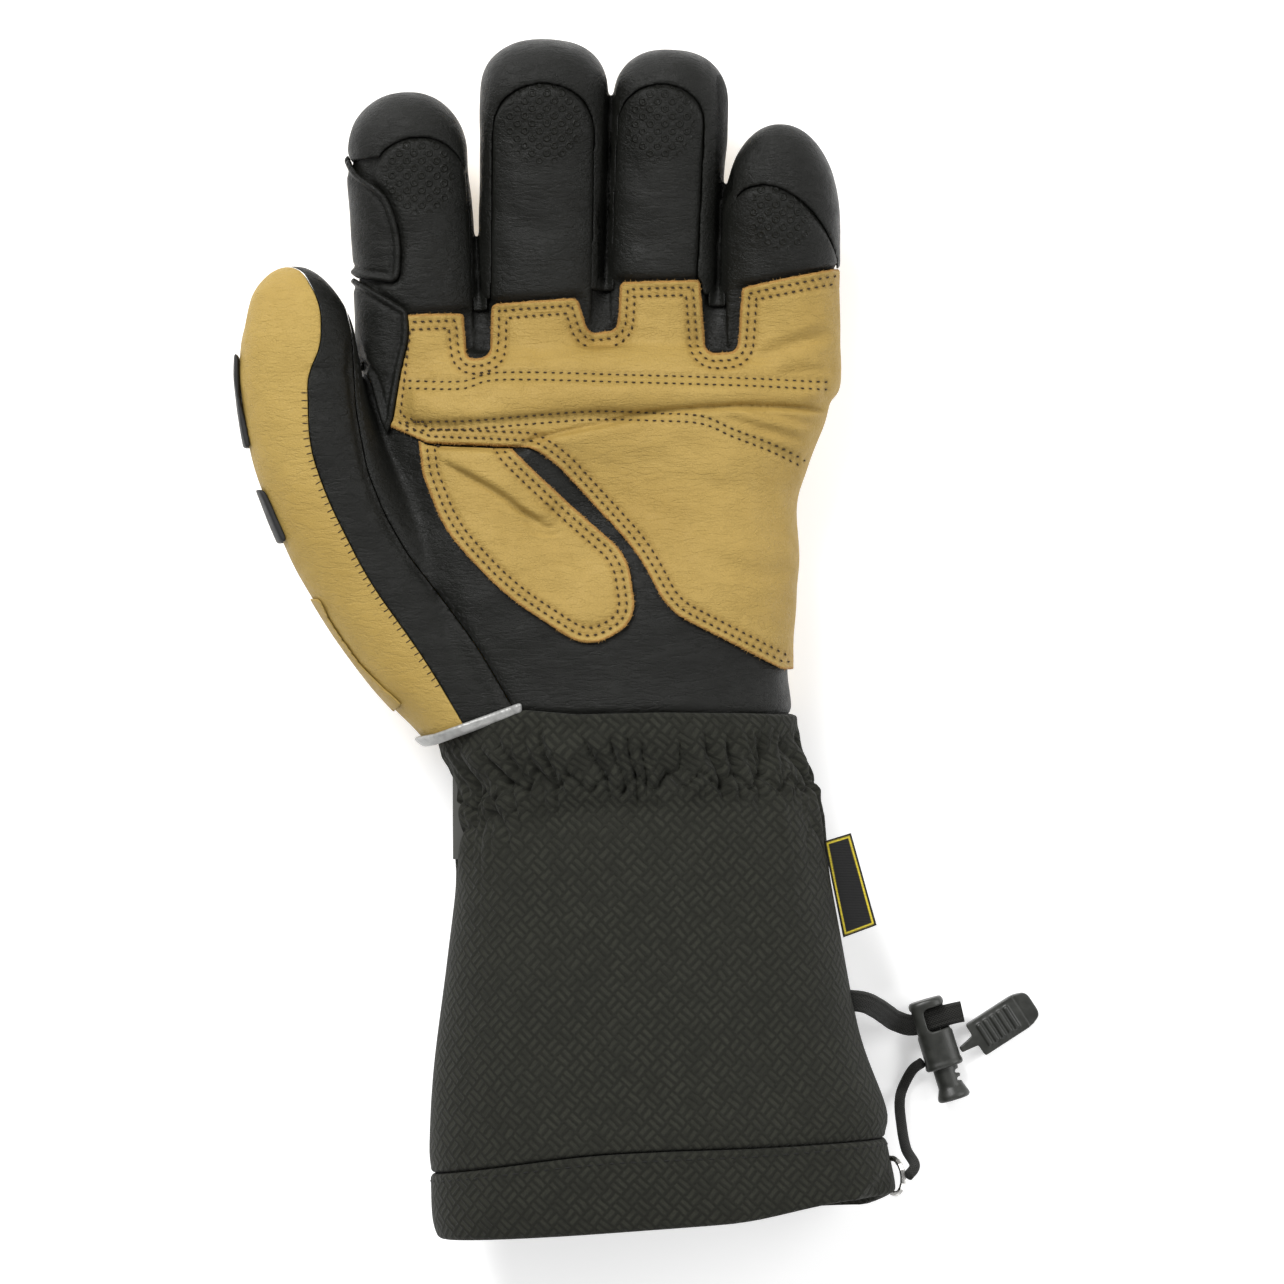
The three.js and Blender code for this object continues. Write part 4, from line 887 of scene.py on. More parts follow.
def moulded(name, base, rough, grain=0.05, speck=3.0):
    n = Nodes(name)
    where = n.place()
    fine = n.noise(where, speck, 4, 0.6)
    patchy = n.noise(where, 0.3, 4)
    normal = n.bump(fine, grain, 0.6)
    colour = n.mix(n.ramp(patchy, 0.3, 0.7), tuple(c * 0.85 for c in base), tuple(c * 1.2 for c in base))
    roughness = n.ramp(patchy, 0.3, 0.7, rough - 0.06, rough + 0.08)
    return n.finish(Base_Color=colour, Roughness=roughness, Normal=normal)


def steel(name):
    n = Nodes(name)
    where = n.place()
    scuffs = n.noise(n.place(stretch=(1, 1, 8)), 0.9, 5, 0.7)
    stain = n.noise(where, 0.8, 4)
    colour = n.mix(n.ramp(stain, 0.45, 0.75), (0.62, 0.61, 0.59), (0.4, 0.39, 0.37))
    normal = n.bump(scuffs, 0.03, 0.5)
    return n.finish(Base_Color=colour, Roughness=n.ramp(scuffs, 0.3, 0.7, 0.16, 0.34), Normal=normal,
        Metallic=1.0)


def reflective(name):
    n = Nodes(name)
    where = n.place()
    beads = n.cells(where, 3.2)
    cloth = n.noise(where, 0.5, 4)
    normal = n.bump(beads, 0.06, 0.7)
    colour = n.mix(n.ramp(cloth, 0.35, 0.7), (0.36, 0.36, 0.35), (0.27, 0.27, 0.26))
    return n.finish(Base_Color=colour, Roughness=0.38, Normal=normal, Metallic=0.25)


def thread(name, base):
    n = Nodes(name)
    twist = n.noise(n.place(), 5.0, 3)
    normal = n.bump(twist, 0.1, 0.6)
    colour = n.mix(twist, tuple(c * 0.6 for c in base), tuple(c * 1.5 for c in base))
    return n.finish(Base_Color=colour, Roughness=0.7, Normal=normal, Specular_IOR_Level=0.3)


def label_cloth(name, base, border):
    n = Nodes(name)
    where = n.place()
    ribs = n.math("SINE", n.math("MULTIPLY", n.add("ShaderNodeSeparateXYZ", {0: where}).outputs[1],
        2 * math.pi / 0.45))
    speckle = n.noise(where, 2.4, 4, 0.7)
    normal = n.bump(ribs, 0.07, 0.7)
    normal = n.bump(speckle, 0.12, 0.5, normal)
    ground = n.mix(speckle, tuple(c * 0.7 for c in base), tuple(c * 1.4 for c in base))
    edge = n.math("MULTIPLY", n.named("border"), n.ramp(speckle, 0.25, 0.6, 0.55, 1.0))
    return n.finish(Base_Color=n.mix(edge, ground, border), Roughness=0.75, Normal=normal,
        Specular_IOR_Level=0.3)


PAD_CELL = 2.9
WEAVE_CELL = 4.1
TAN = (0.367, 0.247, 0.066)
TAN_WORN = (0.335, 0.22, 0.054)
BACK_TAN = (0.395, 0.27, 0.071)
BACK_TAN_WORN = (0.36, 0.24, 0.058)
RAW_EDGE = (0.36, 0.185, 0.045)
BLACK = (0.0062, 0.0064, 0.0052)
BLACK_WORN = (0.0088, 0.0091, 0.0076)
CHARCOAL = (0.0158, 0.0162, 0.0122)

tan_leather = leather("tan_leather", TAN, TAN_WORN, 1.0, 0.6, RAW_EDGE, 0.28)
tan_plain = leather("tan_leather_plain", BACK_TAN, BACK_TAN_WORN, 1.0, 0.6, None, 0.28)
black_leather = leather("black_leather", BLACK, BLACK_WORN, 0.8, 0.4, None, 0.2)
black_pads = leather("black_leather_pads", BLACK, BLACK_WORN, 0.8, 0.4, None, 0.2, True)
fabric = cuff_fabric("cuff_fabric", CHARCOAL)
elastic = braid("elastic_braid", (0.013, 0.013, 0.0115))
plastic = moulded("lock_plastic", (0.022, 0.023, 0.02), 0.4, 0.03, 2.0)
light_weave = braid("light_weave", (0.14, 0.14, 0.13))
rubber = moulded("guard_rubber", (0.005, 0.005, 0.005), 0.6, 0.06, 2.5)
ring_steel = steel("ring_steel")
silver = reflective("reflective_piping")
fibre = thread("leather_fibre", (0.46, 0.27, 0.085))
dark_thread = thread("dark_thread", (0.03, 0.017, 0.007))
black_thread = thread("black_thread", (0.008, 0.008, 0.0075))
label_weave = label_cloth("label_weave", (0.008, 0.008, 0.008), (0.7, 0.56, 0.04))

# Camera, floor and lights
FRAME_MM = 359.5
LIGHT_TARGET = (0, 0, 0.02)
SHARP_HEIGHT = 25
CAMERA_HEIGHT = 2000
FRAME_CENTRE = np.array((6.72, 24.36, 0))


def set_camera():
    camera = bpy.data.cameras.new("camera")
    camera.sensor_width = 36
    camera.lens = 36 / (FRAME_MM / CAMERA_HEIGHT)
    camera.clip_end = 20
    thing = bpy.data.objects.new("camera", camera)
    thing.location = (FRAME_CENTRE + SHIFT + (0, 0, CAMERA_HEIGHT + SHARP_HEIGHT)) * MM
    bpy.context.scene.collection.objects.link(thing)
    bpy.context.scene.camera = thing


def set_light(name, place, size, watts):
    light = bpy.data.lights.new(name, "AREA")
    light.size = size
    light.energy = watts
    thing = bpy.data.objects.new(name, light)
    thing.location = place
    thing.rotation_euler = (Vector(LIGHT_TARGET) - Vector(place)).to_track_quat("-Z", "Y").to_euler()
    bpy.context.scene.collection.objects.link(thing)


def set_stage():
    half = 3.0
    mesh = make_mesh("floor", [(-half, -half, 0), (half, -half, 0), (half, half, 0), (-half, half, 0)],
        [(0, 1, 2, 3)])
    n = Nodes("floor")
    tone = n.noise(n.add("ShaderNodeTexCoord").outputs["Object"], 40.0, 3)
    n.finish(Base_Color=n.mix(tone, (0.88, 0.88, 0.88), (0.92, 0.92, 0.92)), Roughness=0.9,
             Emission_Color=(1, 1, 1, 1), Emission_Strength=0.4)
    mesh.materials.append(n.material)
    floor = bpy.data.objects.new("floor", mesh)
    floor.location = (0, 0, -0.0004)
    bpy.context.scene.collection.objects.link(floor)
    world = bpy.data.worlds.new("world")
    world.use_nodes = True
    world.node_tree.nodes["Background"].inputs[0].default_value = (1, 1, 1, 1)
    world.node_tree.nodes["Background"].inputs[1].default_value = 0.32
    bpy.context.scene.world = world
    bpy.context.scene.view_settings.view_transform = "Standard"
    set_light("key", (-0.6, 0.95, 1.15), 0.8, 29)
    set_light("fill", (1.1, 0.25, 0.9), 0.9, 10)
    set_light("low", (0.1, -1.2, 0.9), 0.9, 5)


set_camera()
set_stage()


# Cords
def cloth_map(mesh, u, v):
    """A map in metres from values at the points."""
    layer = mesh.uv_layers.new(name="cloth")
    index = np.empty(len(mesh.loops), np.int32)
    mesh.loops.foreach_get("vertex_index", index)
    layer.data.foreach_set("uv", (np.column_stack([u[index], v[index]]) * MM).astype(np.float32).ravel())


def tube(path, width, thickness, sides=24, flat=2.0, ridges=0.0):
    """A closed mesh tube along a path, with its flat side level, and its cloth map."""
    path = np.asarray(path, float)
    ahead = unit(np.gradient(path, axis=0))
    side = unit(np.cross(ahead, Z))
    for k in range(1, len(side)):
        if np.dot(side[k], side[k - 1]) < 0:
            side[k] *= -1
    up = np.cross(side, ahead)
    travelled = np.concatenate([[0], np.cumsum(np.linalg.norm(np.diff(path, axis=0), axis=1))])
    turn = np.arange(sides) / sides * 2 * np.pi
    across = width / 2 * power(np.cos(turn), 2 / flat)
    upward = thickness / 2 * power(np.sin(turn), 2 / flat)
    upward = upward * (1 - ridges * (0.5 + 0.5 * np.cos(across / width * 2 * np.pi * 4)))
    rings = [spot + across[:, None] * a + upward[:, None] * b for spot, a, b in zip(path, side, up)]
    points, faces = loft(rings)
    mesh = make_mesh("tube", points, faces)
    around = np.concatenate([[0], np.cumsum(np.hypot(np.diff(across), np.diff(upward)))])
    u = np.concatenate([np.tile(around, len(path)), [0, 0]])
    v = np.concatenate([np.repeat(travelled, sides), [0, travelled[-1]]])
    cloth_map(mesh, u, v)
    return mesh, float(travelled[-1])


def cord_curve(stops, count):
    """Evenly spaced points of a smooth curve that doesn't swing out where its stops are close together."""
    stops = np.asarray(stops, float)
    stops = np.vstack([2 * stops[0] - stops[1], stops, 2 * stops[-1] - stops[-2]])
    t = np.linspace(0, 1, 24, endpoint=False)[:, None]
    line = []
    for a, b, c, d in zip(stops, stops[1:], stops[2:], stops[3:]):
        before, here, after = (math.sqrt(np.linalg.norm(q - p)) for p, q in ((a, b), (b, c), (c, d)))
        start = ((b - a) / before - (c - a) / (before + here) + (c - b) / here) * here
        stop = ((c - b) / here - (d - b) / (here + after) + (d - c) / after) * here
        line.append(b + start * t + (3 * (c - b) - 2 * start - stop) * t**2
                    + (2 * (b - c) + start + stop) * t**3)
    line = np.vstack(line + [stops[-2:-1]])
    travelled = np.concatenate([[0], np.cumsum(np.linalg.norm(np.diff(line, axis=0), axis=1))])
    at = np.linspace(0, travelled[-1], count)
    return np.stack([np.interp(at, travelled, line[:, k]) for k in range(3)], 1)


cord_exit = turn_cuff(cuff_side(CORD_EXIT_ALONG, 1))
LOCK_PLACE = np.array((cord_exit[0] + LOCK_LENGTH * 1.2, cord_exit[1] - LOCK_LENGTH * 0.525,
    LOCK_HEIGHT / 2))


def in_lock(points):
    """From the lock's own frame, its Y axis along the barrel, to the hand's."""
    points = np.asarray(points, float)
    c, s = math.cos(LOCK_TURN), math.sin(LOCK_TURN)
    x, y = points[..., 0], points[..., 1]
    return np.stack([x * c - y * s, x * s + y * c, points[..., 2]], -1) + LOCK_PLACE


def lock_stop(x, y, z=0.0):
    return in_lock((x, y, z))


def near_ring(x, y, z):
    centre = cuff_side(RING_ALONG, 1) + (0.2, 0, CUFF_DEPTH * 0.05)
    return turn_cuff(centre + (x, y, z))


def by_ring(x, y, z):
    """A point given in the hem ring's own plane."""
    c, s = math.cos(RING_TURN), math.sin(RING_TURN)
    return near_ring(x * c - z * s, y, x * s + z * c)


drawcord_stops = [
    cord_exit + (-CUFF_WALL * 2, LOCK_LENGTH * 0.02, 0),
    cord_exit + (CUFF_WALL, -LOCK_LENGTH * 0.015, -CUFF_WALL * 0.04),
    cord_exit + (CUFF_WALL * 2.4, -LOCK_LENGTH * 0.11, -CUFF_DEPTH * 0.09),
    cord_exit + (CUFF_WALL * 3.6, -LOCK_LENGTH * 0.235, -CUFF_DEPTH * 0.23),
    cord_exit + (CUFF_WALL * 4.7, -LOCK_LENGTH * 0.345, -CUFF_DEPTH * 0.35),
    lock_stop(-LOCK_WIDTH * 0.52, CORD_OFFSET + 0.2),
    lock_stop(0, CORD_OFFSET),
    lock_stop(LOCK_WIDTH * 0.5, CORD_OFFSET),
    lock_stop(LOCK_WIDTH * 0.85, CORD_OFFSET - 0.3),
]
leash_stops = [
    lock_stop(-LOCK_WIDTH / 2 - FIT, -LOCK_LENGTH * 0.34),
    lock_stop(-LOCK_WIDTH * 0.8, -LOCK_LENGTH * 0.4, LEASH_WIDTH - LOCK_HEIGHT / 2),
    lock_stop(-LOCK_WIDTH * 1.2, -LOCK_LENGTH * 0.62, LEASH_WIDTH * 0.6 - LOCK_HEIGHT / 2),
    near_ring(RING_RADIUS * 0.85, RING_RADIUS * 3.7, -CUFF_DEPTH * 0.46),
    near_ring(RING_RADIUS * 0.8, RING_RADIUS * 2.5, -CUFF_DEPTH * 0.34),
    near_ring(RING_RADIUS * 0.88, RING_RADIUS * 1.3, -CUFF_DEPTH * 0.16),
    near_ring(RING_RADIUS * 1.2, RING_RADIUS * 0.42, CUFF_DEPTH * 0.01),
    by_ring(RING_RADIUS, 0, -RING_WIRE - FIT * 2.7),
]
drawcord_path = cord_curve(drawcord_stops, 64)
leash_path = cord_curve(leash_stops, 72)

drawcord_mesh, drawcord_length = tube(drawcord_path, CORD_WIDTH, CORD_THICKNESS, 48, 2.8, 0.3)
drawcord = piece("drawcord_braid", drawcord_mesh, elastic, ("drawcord",))
leash_mesh, leash_length = tube(leash_path, LEASH_WIDTH, LEASH_WIDTH * 0.8, 20, 2.2)
leash = piece("leash_braid", leash_mesh, elastic, ("leash_cord",))


# The cord lock and its pull tab
def outward(mesh):
    shape = bmesh.new()
    shape.from_mesh(mesh)
    bmesh.ops.triangulate(shape, faces=shape.faces)
    if shape.calc_volume(signed=True) < 0:
        bmesh.ops.reverse_faces(shape, faces=shape.faces)
    shape.to_mesh(mesh)
    shape.free()
    return mesh


def turned(profile, boxy=2.0, sides=64):
    """A profile of radius and height turned about the lock's Y axis, flattened to the lock's height."""
    turn = np.arange(sides) / sides * 2 * np.pi
    across, upward = power(np.cos(turn), 2 / boxy), power(np.sin(turn), 2 / boxy) * LOCK_HEIGHT / LOCK_WIDTH
    rings = [np.column_stack([r * across, np.full(sides, y), r * upward]) for r, y in profile]
    return outward(make_mesh("turned", *loft(rings)))


def rounded(mesh, voxel, times):
    mesh = remeshed(mesh, voxel)
    relaxed(mesh, times)
    return mesh


def lock_piece(name, mesh, replaces, body="glove"):
    set_points(mesh, in_lock(points_of(mesh)))
    return piece(name, mesh, plastic, (replaces,), body)


half = LOCK_LENGTH / 2
radius = LOCK_WIDTH / 2
cord_room = CORD_WIDTH / 2 + LOCK_ROOM
cord_high = CORD_THICKNESS / 2 + LOCK_ROOM
barrel = turned([
    (radius - 0.5, -half), (radius - 0.1, -half + 0.3), (radius, -half + 0.9), (radius * 0.94, -half + 2.1),
    (radius * 0.93, -half + 3), (radius * 0.92, half - 1.2), (radius * 0.89, half - 0.5),
    (radius * 0.8, half),
], 2.8)
barrel = boolean(barrel, turned([(LOCK_BORE, -half - 1), (LOCK_BORE, half - 1.4)]), "DIFFERENCE")
barrel = boolean(barrel, box_mesh((-LOCK_WIDTH, CORD_OFFSET - cord_room, -cord_high),
                                  (LOCK_WIDTH, CORD_OFFSET + cord_room, cord_high)), "DIFFERENCE")
window = outline([(-1.6, 0.8, 1.8), (LOCK_WIDTH, 0.8, 0), (LOCK_WIDTH, 7.4, 0), (-1.6, 7.4, 1.8)], 1, 1)
barrel = boolean(barrel, prism(window, 0, 20), "DIFFERENCE")
barrel_piece = lock_piece("lock_barrel_body", rounded(barrel, BARREL_VOXEL, 2), "cord_lock_barrel")

end = -half - PLUNGER_OUT
foot = PLUNGER_FOOT / 2
stem = LOCK_BORE - FIT
top = half - 1.4 - PLUNGER_TRAVEL - FIT
plunger = turned([
    (foot * 0.8, end), (foot * 0.94, end + 0.25), (foot, end + 0.8), (foot * 0.97, end + 1.6),
    (stem, end + 4),
    (stem, top),
])
fork = CORD_OFFSET - CORD_WIDTH / 2 - PLUNGER_TRAVEL - LOCK_ROOM
plunger = boolean(plunger, box_mesh((-LOCK_WIDTH, fork, -cord_high), (LOCK_WIDTH, top + 2, cord_high)),
    "DIFFERENCE")
plunger = boolean(plunger, box_mesh((-LOCK_WIDTH, 0.6, 0), (LOCK_WIDTH, top + 2, LOCK_HEIGHT)),
    "DIFFERENCE")
for rise in (5.4, 7.6):
    notch = box_mesh((stem - 1.3, end + rise - 0.6, -LOCK_HEIGHT),
        (stem + 2, end + rise + 0.6, LOCK_HEIGHT))
    plunger = boolean(plunger, notch, "DIFFERENCE")
plunger_piece = lock_piece("lock_plunger_body", rounded(plunger, PLUNGER_VOXEL, 2), "cord_lock_plunger",
    "plunger")

plate = outline([
    (-TAB_TAIL, -0.8, 0), (0, -1.6, 0), (0, -TAB_WIDTH / 2, 0.8), (TAB_LENGTH * 0.8, -TAB_WIDTH / 2, 1.5),
    (TAB_LENGTH, -TAB_WIDTH * 0.36, 2), (TAB_LENGTH, TAB_WIDTH * 0.36, 2),
    (TAB_LENGTH * 0.8, TAB_WIDTH / 2, 1.5),
    (0, TAB_WIDTH / 2, 0.8), (0, 1.6, 0), (-TAB_TAIL, 0.8, 0)], 1, 1)
tab = prism(plate, 0.2, TAB_THICK + 0.2)
tab = boolean(tab, box_mesh((-TAB_TAIL * 2, -TAB_WIDTH, -5), (0, TAB_WIDTH, TAB_THICK * 0.48)),
    "DIFFERENCE")
for at in np.linspace(TAB_LENGTH * 0.16, TAB_LENGTH * 0.62, 5):
    rib = box_mesh((at - 0.65, -TAB_WIDTH * 0.34, TAB_THICK - 0.5),
        (at + 0.65, TAB_WIDTH * 0.34, TAB_THICK + 0.95))
    tab = boolean(tab, rib, "UNION")
cap_line = box_mesh((TAB_LENGTH * 0.8 - 0.3, -TAB_WIDTH, TAB_THICK - 0.3),
    (TAB_LENGTH * 0.8 + 0.3, TAB_WIDTH, TAB_THICK + 1))
tab = rounded(boolean(tab, cap_line, "DIFFERENCE"), PULL_VOXEL, 2)
p = points_of(tab)
c, s = math.cos(TAB_TURN), math.sin(TAB_TURN)
p = np.column_stack([p[:, 0] * c - p[:, 1] * s, p[:, 0] * s + p[:, 1] * c, p[:, 2]])
set_points(tab, p + (LOCK_WIDTH / 2 + TAB_TAIL - 0.05, -LOCK_LENGTH * 0.265, -LOCK_HEIGHT / 2))
tab_piece = lock_piece("pull_tab_body", tab, "pull_tab")


# The hand's surface
def ball(centre, radii, count=32):
    turn = np.arange(count) / count * 2 * np.pi
    rings = []
    for rise in np.radians(np.linspace(-80, 80, 17)):
        ring = np.column_stack([np.cos(turn) * math.cos(rise), np.sin(turn) * math.cos(rise),
            np.full(count, math.sin(rise))])
        rings.append(np.array(centre) + ring * radii)
    return loft(rings)


def hand_surface():
    parts = [palm_form(-SKIN)] + [finger_form(f, -SKIN) for f in FINGERS] + [thumb_form(-SKIN)]
    parts += [ball((x, y, WEB_HEIGHT), WEB_SIZE) for x, y in WEBS]
    mesh = remeshed(joined(parts), SHELL_VOXEL)
    relaxed(mesh, 14)
    return mesh


def lining_surface():
    inner = -SKIN - HAND_WALL
    parts = [palm_form(inner, 60)] + [finger_form(f, inner, 32) for f in FINGERS] + [thumb_form(inner, 40)]
    return remeshed(joined(parts), LINING_VOXEL)


def cap_window(finger, grow=0.0):
    """The arched window of a fingertip's cap, in plan."""
    length, start, side, forward = finger_line(finger)
    offset, half, below, fall = CAP_WINDOWS[finger[0]]
    half = half + grow
    arch = [(offset + half, length * -0.1)]
    for turn in np.linspace(0, np.pi, 33):
        x = half * math.cos(turn)
        drop = half * (1 - math.sin(turn) ** 0.8) + fall * ((x / half + 1) / 2) ** 1.6
        arch.append((offset + x, length - below + grow - drop))
    arch.append((offset - half, length * -0.1))
    return np.array([(start + side * x + forward * y)[:2] for x, y in arch])


def fold(side, above, below, reach_above, reach_below, edge=1.2):
    """The height beside a line where one panel lies over the next: above is the side to the line's left."""
    left = above * (1 - np.exp(-side / edge)) * np.exp(-side / reach_above)
    right = below * (1 - np.exp(side / edge)) * np.exp(side / reach_below)
    return np.where(side > 0, left, right)


def fade(share, over=0.08):
    return smoothstep(np.minimum(share, 1 - share), 0, over)


def sculpted(mesh):
    """The padded bar, the folds and the creases of the palm, as heights of what faces up."""
    p = points_of(mesh)
    top, top_share = line_side(p, palm_line(BAR_ROW_TOP))
    low, _ = line_side(p, palm_line(BAR_FOOT))
    across = np.clip(low / np.maximum(low - top, 1e-3), 0, 1)
    within = (low > 0) & (top < 0)
    high = np.where(within, 2.4 * np.sin(np.pi * across) ** 0.55, 0) * fade(top_share, 0.03)
    high -= 0.7 * np.exp(-((top + ROW_APART / 2) / 1.5) ** 2) * fade(top_share, 0.03)
    row, share = line_side(p, palm_line(BAR_ROW_LOW))
    high -= 0.7 * np.exp(-((row + ROW_APART / 2) / 1.5) ** 2) * fade(share, 0.03)
    side, share = line_side(p, palm_line(PANEL_FOLD))
    ends = fade(share, 0.1)
    high += ends * fold(side, -1.3, 2.3, 3.2, 13)
    high -= ends * 1.5 * np.exp(-(side / 0.8) ** 2)
    side, share = line_side(p, palm_line(WEB_FOLD[::-1]))
    ends = fade(share, 0.22)
    high += ends * fold(side, -1.1, 2.6, 3.0, 8)
    high -= ends * 1.1 * np.exp(-(side / 0.9) ** 2)
    for line, depth, width in SMALL_CREASES:
        side, share = line_side(p, palm_line(line, 16))
        ridge = 0.35 * np.exp(-((np.abs(side) - 2 * width) / width) ** 2)
        high += depth * (ridge - np.exp(-(side / width) ** 2)) * fade(share, 0.3)
    soft = 0.5 * lumps(p * (1, 1, 0), 15, 21) + 0.3 * lumps(p * (1, 1, 0), 7, 22)
    high += soft * smoothstep(p[:, 1], 5, 25) * 0.7
    p[:, 2] += high * smoothstep(p[:, 2], 24, 33)
    set_points(mesh, p)
    return mesh


base = hand_surface()
p = points_of(base)
nrm = normals_of(base)
p += nrm * (0.4 * lumps(p, 34, 3) + 0.22 * lumps(p, 13, 5))[:, None]
p = groove(p, nrm, palm_line(THUMB_SEAM), 0.9, 1.1)
p = groove(p, nrm, palm_line(THUMB_CROSS_SEAM), 0.7, 0.9)
wrist_line = np.array(WRIST_LINE) * (PALM_WIDTH, PALM_LENGTH)
p = groove(p, nrm, wrist_line, 1.3, 1.6, up_only=False, fade=0.001)
p[:, 2] = np.maximum(p[:, 2], 0)
set_points(base, p)

# The pads swell inside the caps' windows until they are level with the caps.
surface = base.copy()
nrm = normals_of(base)
pad_mask = np.zeros(len(p))
patch_edge = outline(PALM_PATCH, PALM_WIDTH, PALM_LENGTH)
clear_of_patch = np.ones(len(p))
for edge in (patch_edge, on_palm(INDEX_PATCH_UPPER), on_palm(INDEX_PATCH_LOWER)):
    clear_of_patch *= np.where(inside(p, edge), 0, smoothstep(line_distance(p, edge, True)[0], 0.2, 2))
for finger in FINGERS:
    window = cap_window(finger)
    away, _ = line_distance(p, window, True)
    within = inside(p, window) & (nrm[:, 2] > 0.1)
    swell = np.where(within, smoothstep(away, -0.4, 1.8), 0) * clear_of_patch
    p = p + nrm * (WINDOW_SWELL * swell)[:, None]
    length, start, side, forward = finger_line(finger)
    half = finger[5] * FINGER_WIDTH / 2
    local = p - start
    offset, _, below, _ = CAP_WINDOWS[finger[0]]
    across = (local @ side - offset) / (half * 0.55)
    along = (local @ forward - (length - below - PAD_BELOW)) / (half * 0.62)
    pad_mask = np.maximum(pad_mask, smoothstep(1.1 - np.hypot(across, along), 0, 0.22) * within)
set_points(surface, p)
attribute(surface, "pad", pad_mask)


def inflated(by):
    grown = base.copy()
    set_points(grown, points_of(base) + normals_of(base) * by)
    return grown


under_skin = inflated(0.12)
over_skin = inflated(SKIN)


def skin_piece(area, voxel):
    """What lies over an area of the hand's surface, as thick as the leather, with rounded edges."""
    mesh = boolean(over_skin, area, "INTERSECT")
    mesh = boolean(mesh, under_skin, "DIFFERENCE")
    mesh = boolean(mesh, below_seam(SEAM_ALLOWANCE), "DIFFERENCE")
    return rounded(mesh, voxel, 3)


def tree_of(mesh):
    return BVHTree.FromPolygons([tuple(v) for v in points_of(mesh)],
        [tuple(f.vertices) for f in mesh.polygons])


def even_points(line, pitch, closed=True):
    """Points a pitch apart along a line in plan, with the direction at each."""
    line = np.asarray(line)
    if closed:
        line = np.vstack([line, line[:1]])
    steps = np.linalg.norm(np.diff(line, axis=0), axis=1)
    travelled = np.concatenate([[0], np.cumsum(steps)])
    count = max(2, int(travelled[-1] / pitch))
    at = (np.arange(count) + 0.5) * travelled[-1] / count
    where = np.column_stack([np.interp(at, travelled, line[:, k]) for k in range(2)])
    ahead = np.column_stack([np.interp(at + 0.3, travelled, line[:, k]) for k in range(2)]) - where
    return where, unit(ahead + 1e-9)


def on_surface(tree, where, ahead, least_up=0.3):
    """Where plan points meet a surface from above: place, direction and normal."""
    found = []
    for (x, y), (dx, dy) in zip(where, ahead):
        place, normal, _, _ = tree.ray_cast(Vector((x, y, 120)), Vector((0, 0, -1)))
        if place is None or normal.z < least_up:
            continue
        along = Vector((dx, dy, 0))
        along = (along - normal * along.dot(normal)).normalized()
        found.append((np.array(place), np.array(along), np.array(normal)))
    return found


def beads(spots, length, width, sink, profile, sides, seed):
    """Small solids of revolution that lie along the spots, as one list of points and faces."""
    rng = np.random.default_rng(seed)
    points, faces = [], []
    for place, along, normal in spots:
        side = np.cross(along, normal)
        along = along + side * rng.normal(0, 0.08)
        first = len(points)
        stretch = rng.uniform(0.9, 1.1)
        for share, size in profile:
            middle = place + along * share * length * stretch - normal * (sink - 0.1 * (1 - size))
            for k in range(sides):
                turn = 2 * math.pi * k / sides
                points.append(middle + (side * math.cos(turn) + normal * math.sin(turn)) * width / 2 * size)
        for r in range(len(profile) - 1):
            for k in range(sides):
                j = (k + 1) % sides
                a = first + r * sides
                faces.append((a + k, a + j, a + sides + j, a + sides + k))
        faces.append(tuple(first + k for k in reversed(range(sides))))
        faces.append(tuple(first + (len(profile) - 1) * sides + k for k in range(sides)))
    return points, faces


STITCH_PROFILE = [(-0.5, 0.3), (-0.34, 0.85), (0, 1), (0.34, 0.85), (0.5, 0.3)]


def stitches(name, spots, length, width, sink, material, seed=1):
    sewn = make_mesh(name, *beads(spots, length, width, sink, STITCH_PROFILE, 6, seed))
    return piece(name, sewn, material)


def fibres(tree, edge, inward, seed):
    """Places for little fibres that stand off a raw edge, at random slants."""
    rng = np.random.default_rng(seed)
    where, ahead = even_points(edge, FIBRE_PITCH)
    out = np.stack([ahead[:, 1], -ahead[:, 0]], 1) * inward
    where = where - out * rng.uniform(0.1, 0.7, len(where))[:, None]
    found = []
    for place, along, normal in on_surface(tree, where, ahead):
        side = np.cross(along, normal) * rng.choice((-1, 1))
        slant = along * rng.normal(0, 0.8) + side * rng.normal(0, 0.8) + normal * rng.uniform(0.1, 0.5)
        direction = unit(slant)
        found.append((place, direction, unit(np.cross(np.cross(direction, normal), direction))))
    return found


def dress_patch(mesh, edge, spots):
    """Dents under the stitches, a rough raw edge, and the attributes that colour them."""
    p = points_of(mesh)
    nrm = normals_of(mesh)
    away, _ = line_distance(p, edge, True)
    rim = 1 - smoothstep(away, 0.2, RIM_WIDTH)
    rough = lumps(p, 1.6, 11) * 0.5 + lumps(p, 0.9, 12) * 0.5
    p += nrm * (0.18 * rim * rough)[:, None]
    band = smoothstep(away, 1.2, 2.0) * (1 - smoothstep(away, 4.6, 6.0))
    p -= nrm * (0.22 * band * (nrm[:, 2] > 0))[:, None]
    tree = KDTree(len(spots))
    for k, (place, _, _) in enumerate(spots):
        tree.insert(Vector(place), k)
    tree.balance()
    gaps = np.array([tree.find(Vector(v))[2] for v in p])
    dent = np.exp(-(gaps / 0.7) ** 2)
    between = np.exp(-(gaps / 1.8) ** 2)
    p -= nrm * (0.2 * dent + 0.14 * between)[:, None]
    set_points(mesh, p)
    attribute(mesh, "rim", rim)
    attribute(mesh, "dent", dent)
    attribute(mesh, "band", band)


def turning(edge):
    return np.sign(np.sum(edge[:, 0] * np.roll(edge[:, 1], -1) - edge[:, 1] * np.roll(edge[:, 0], -1)))


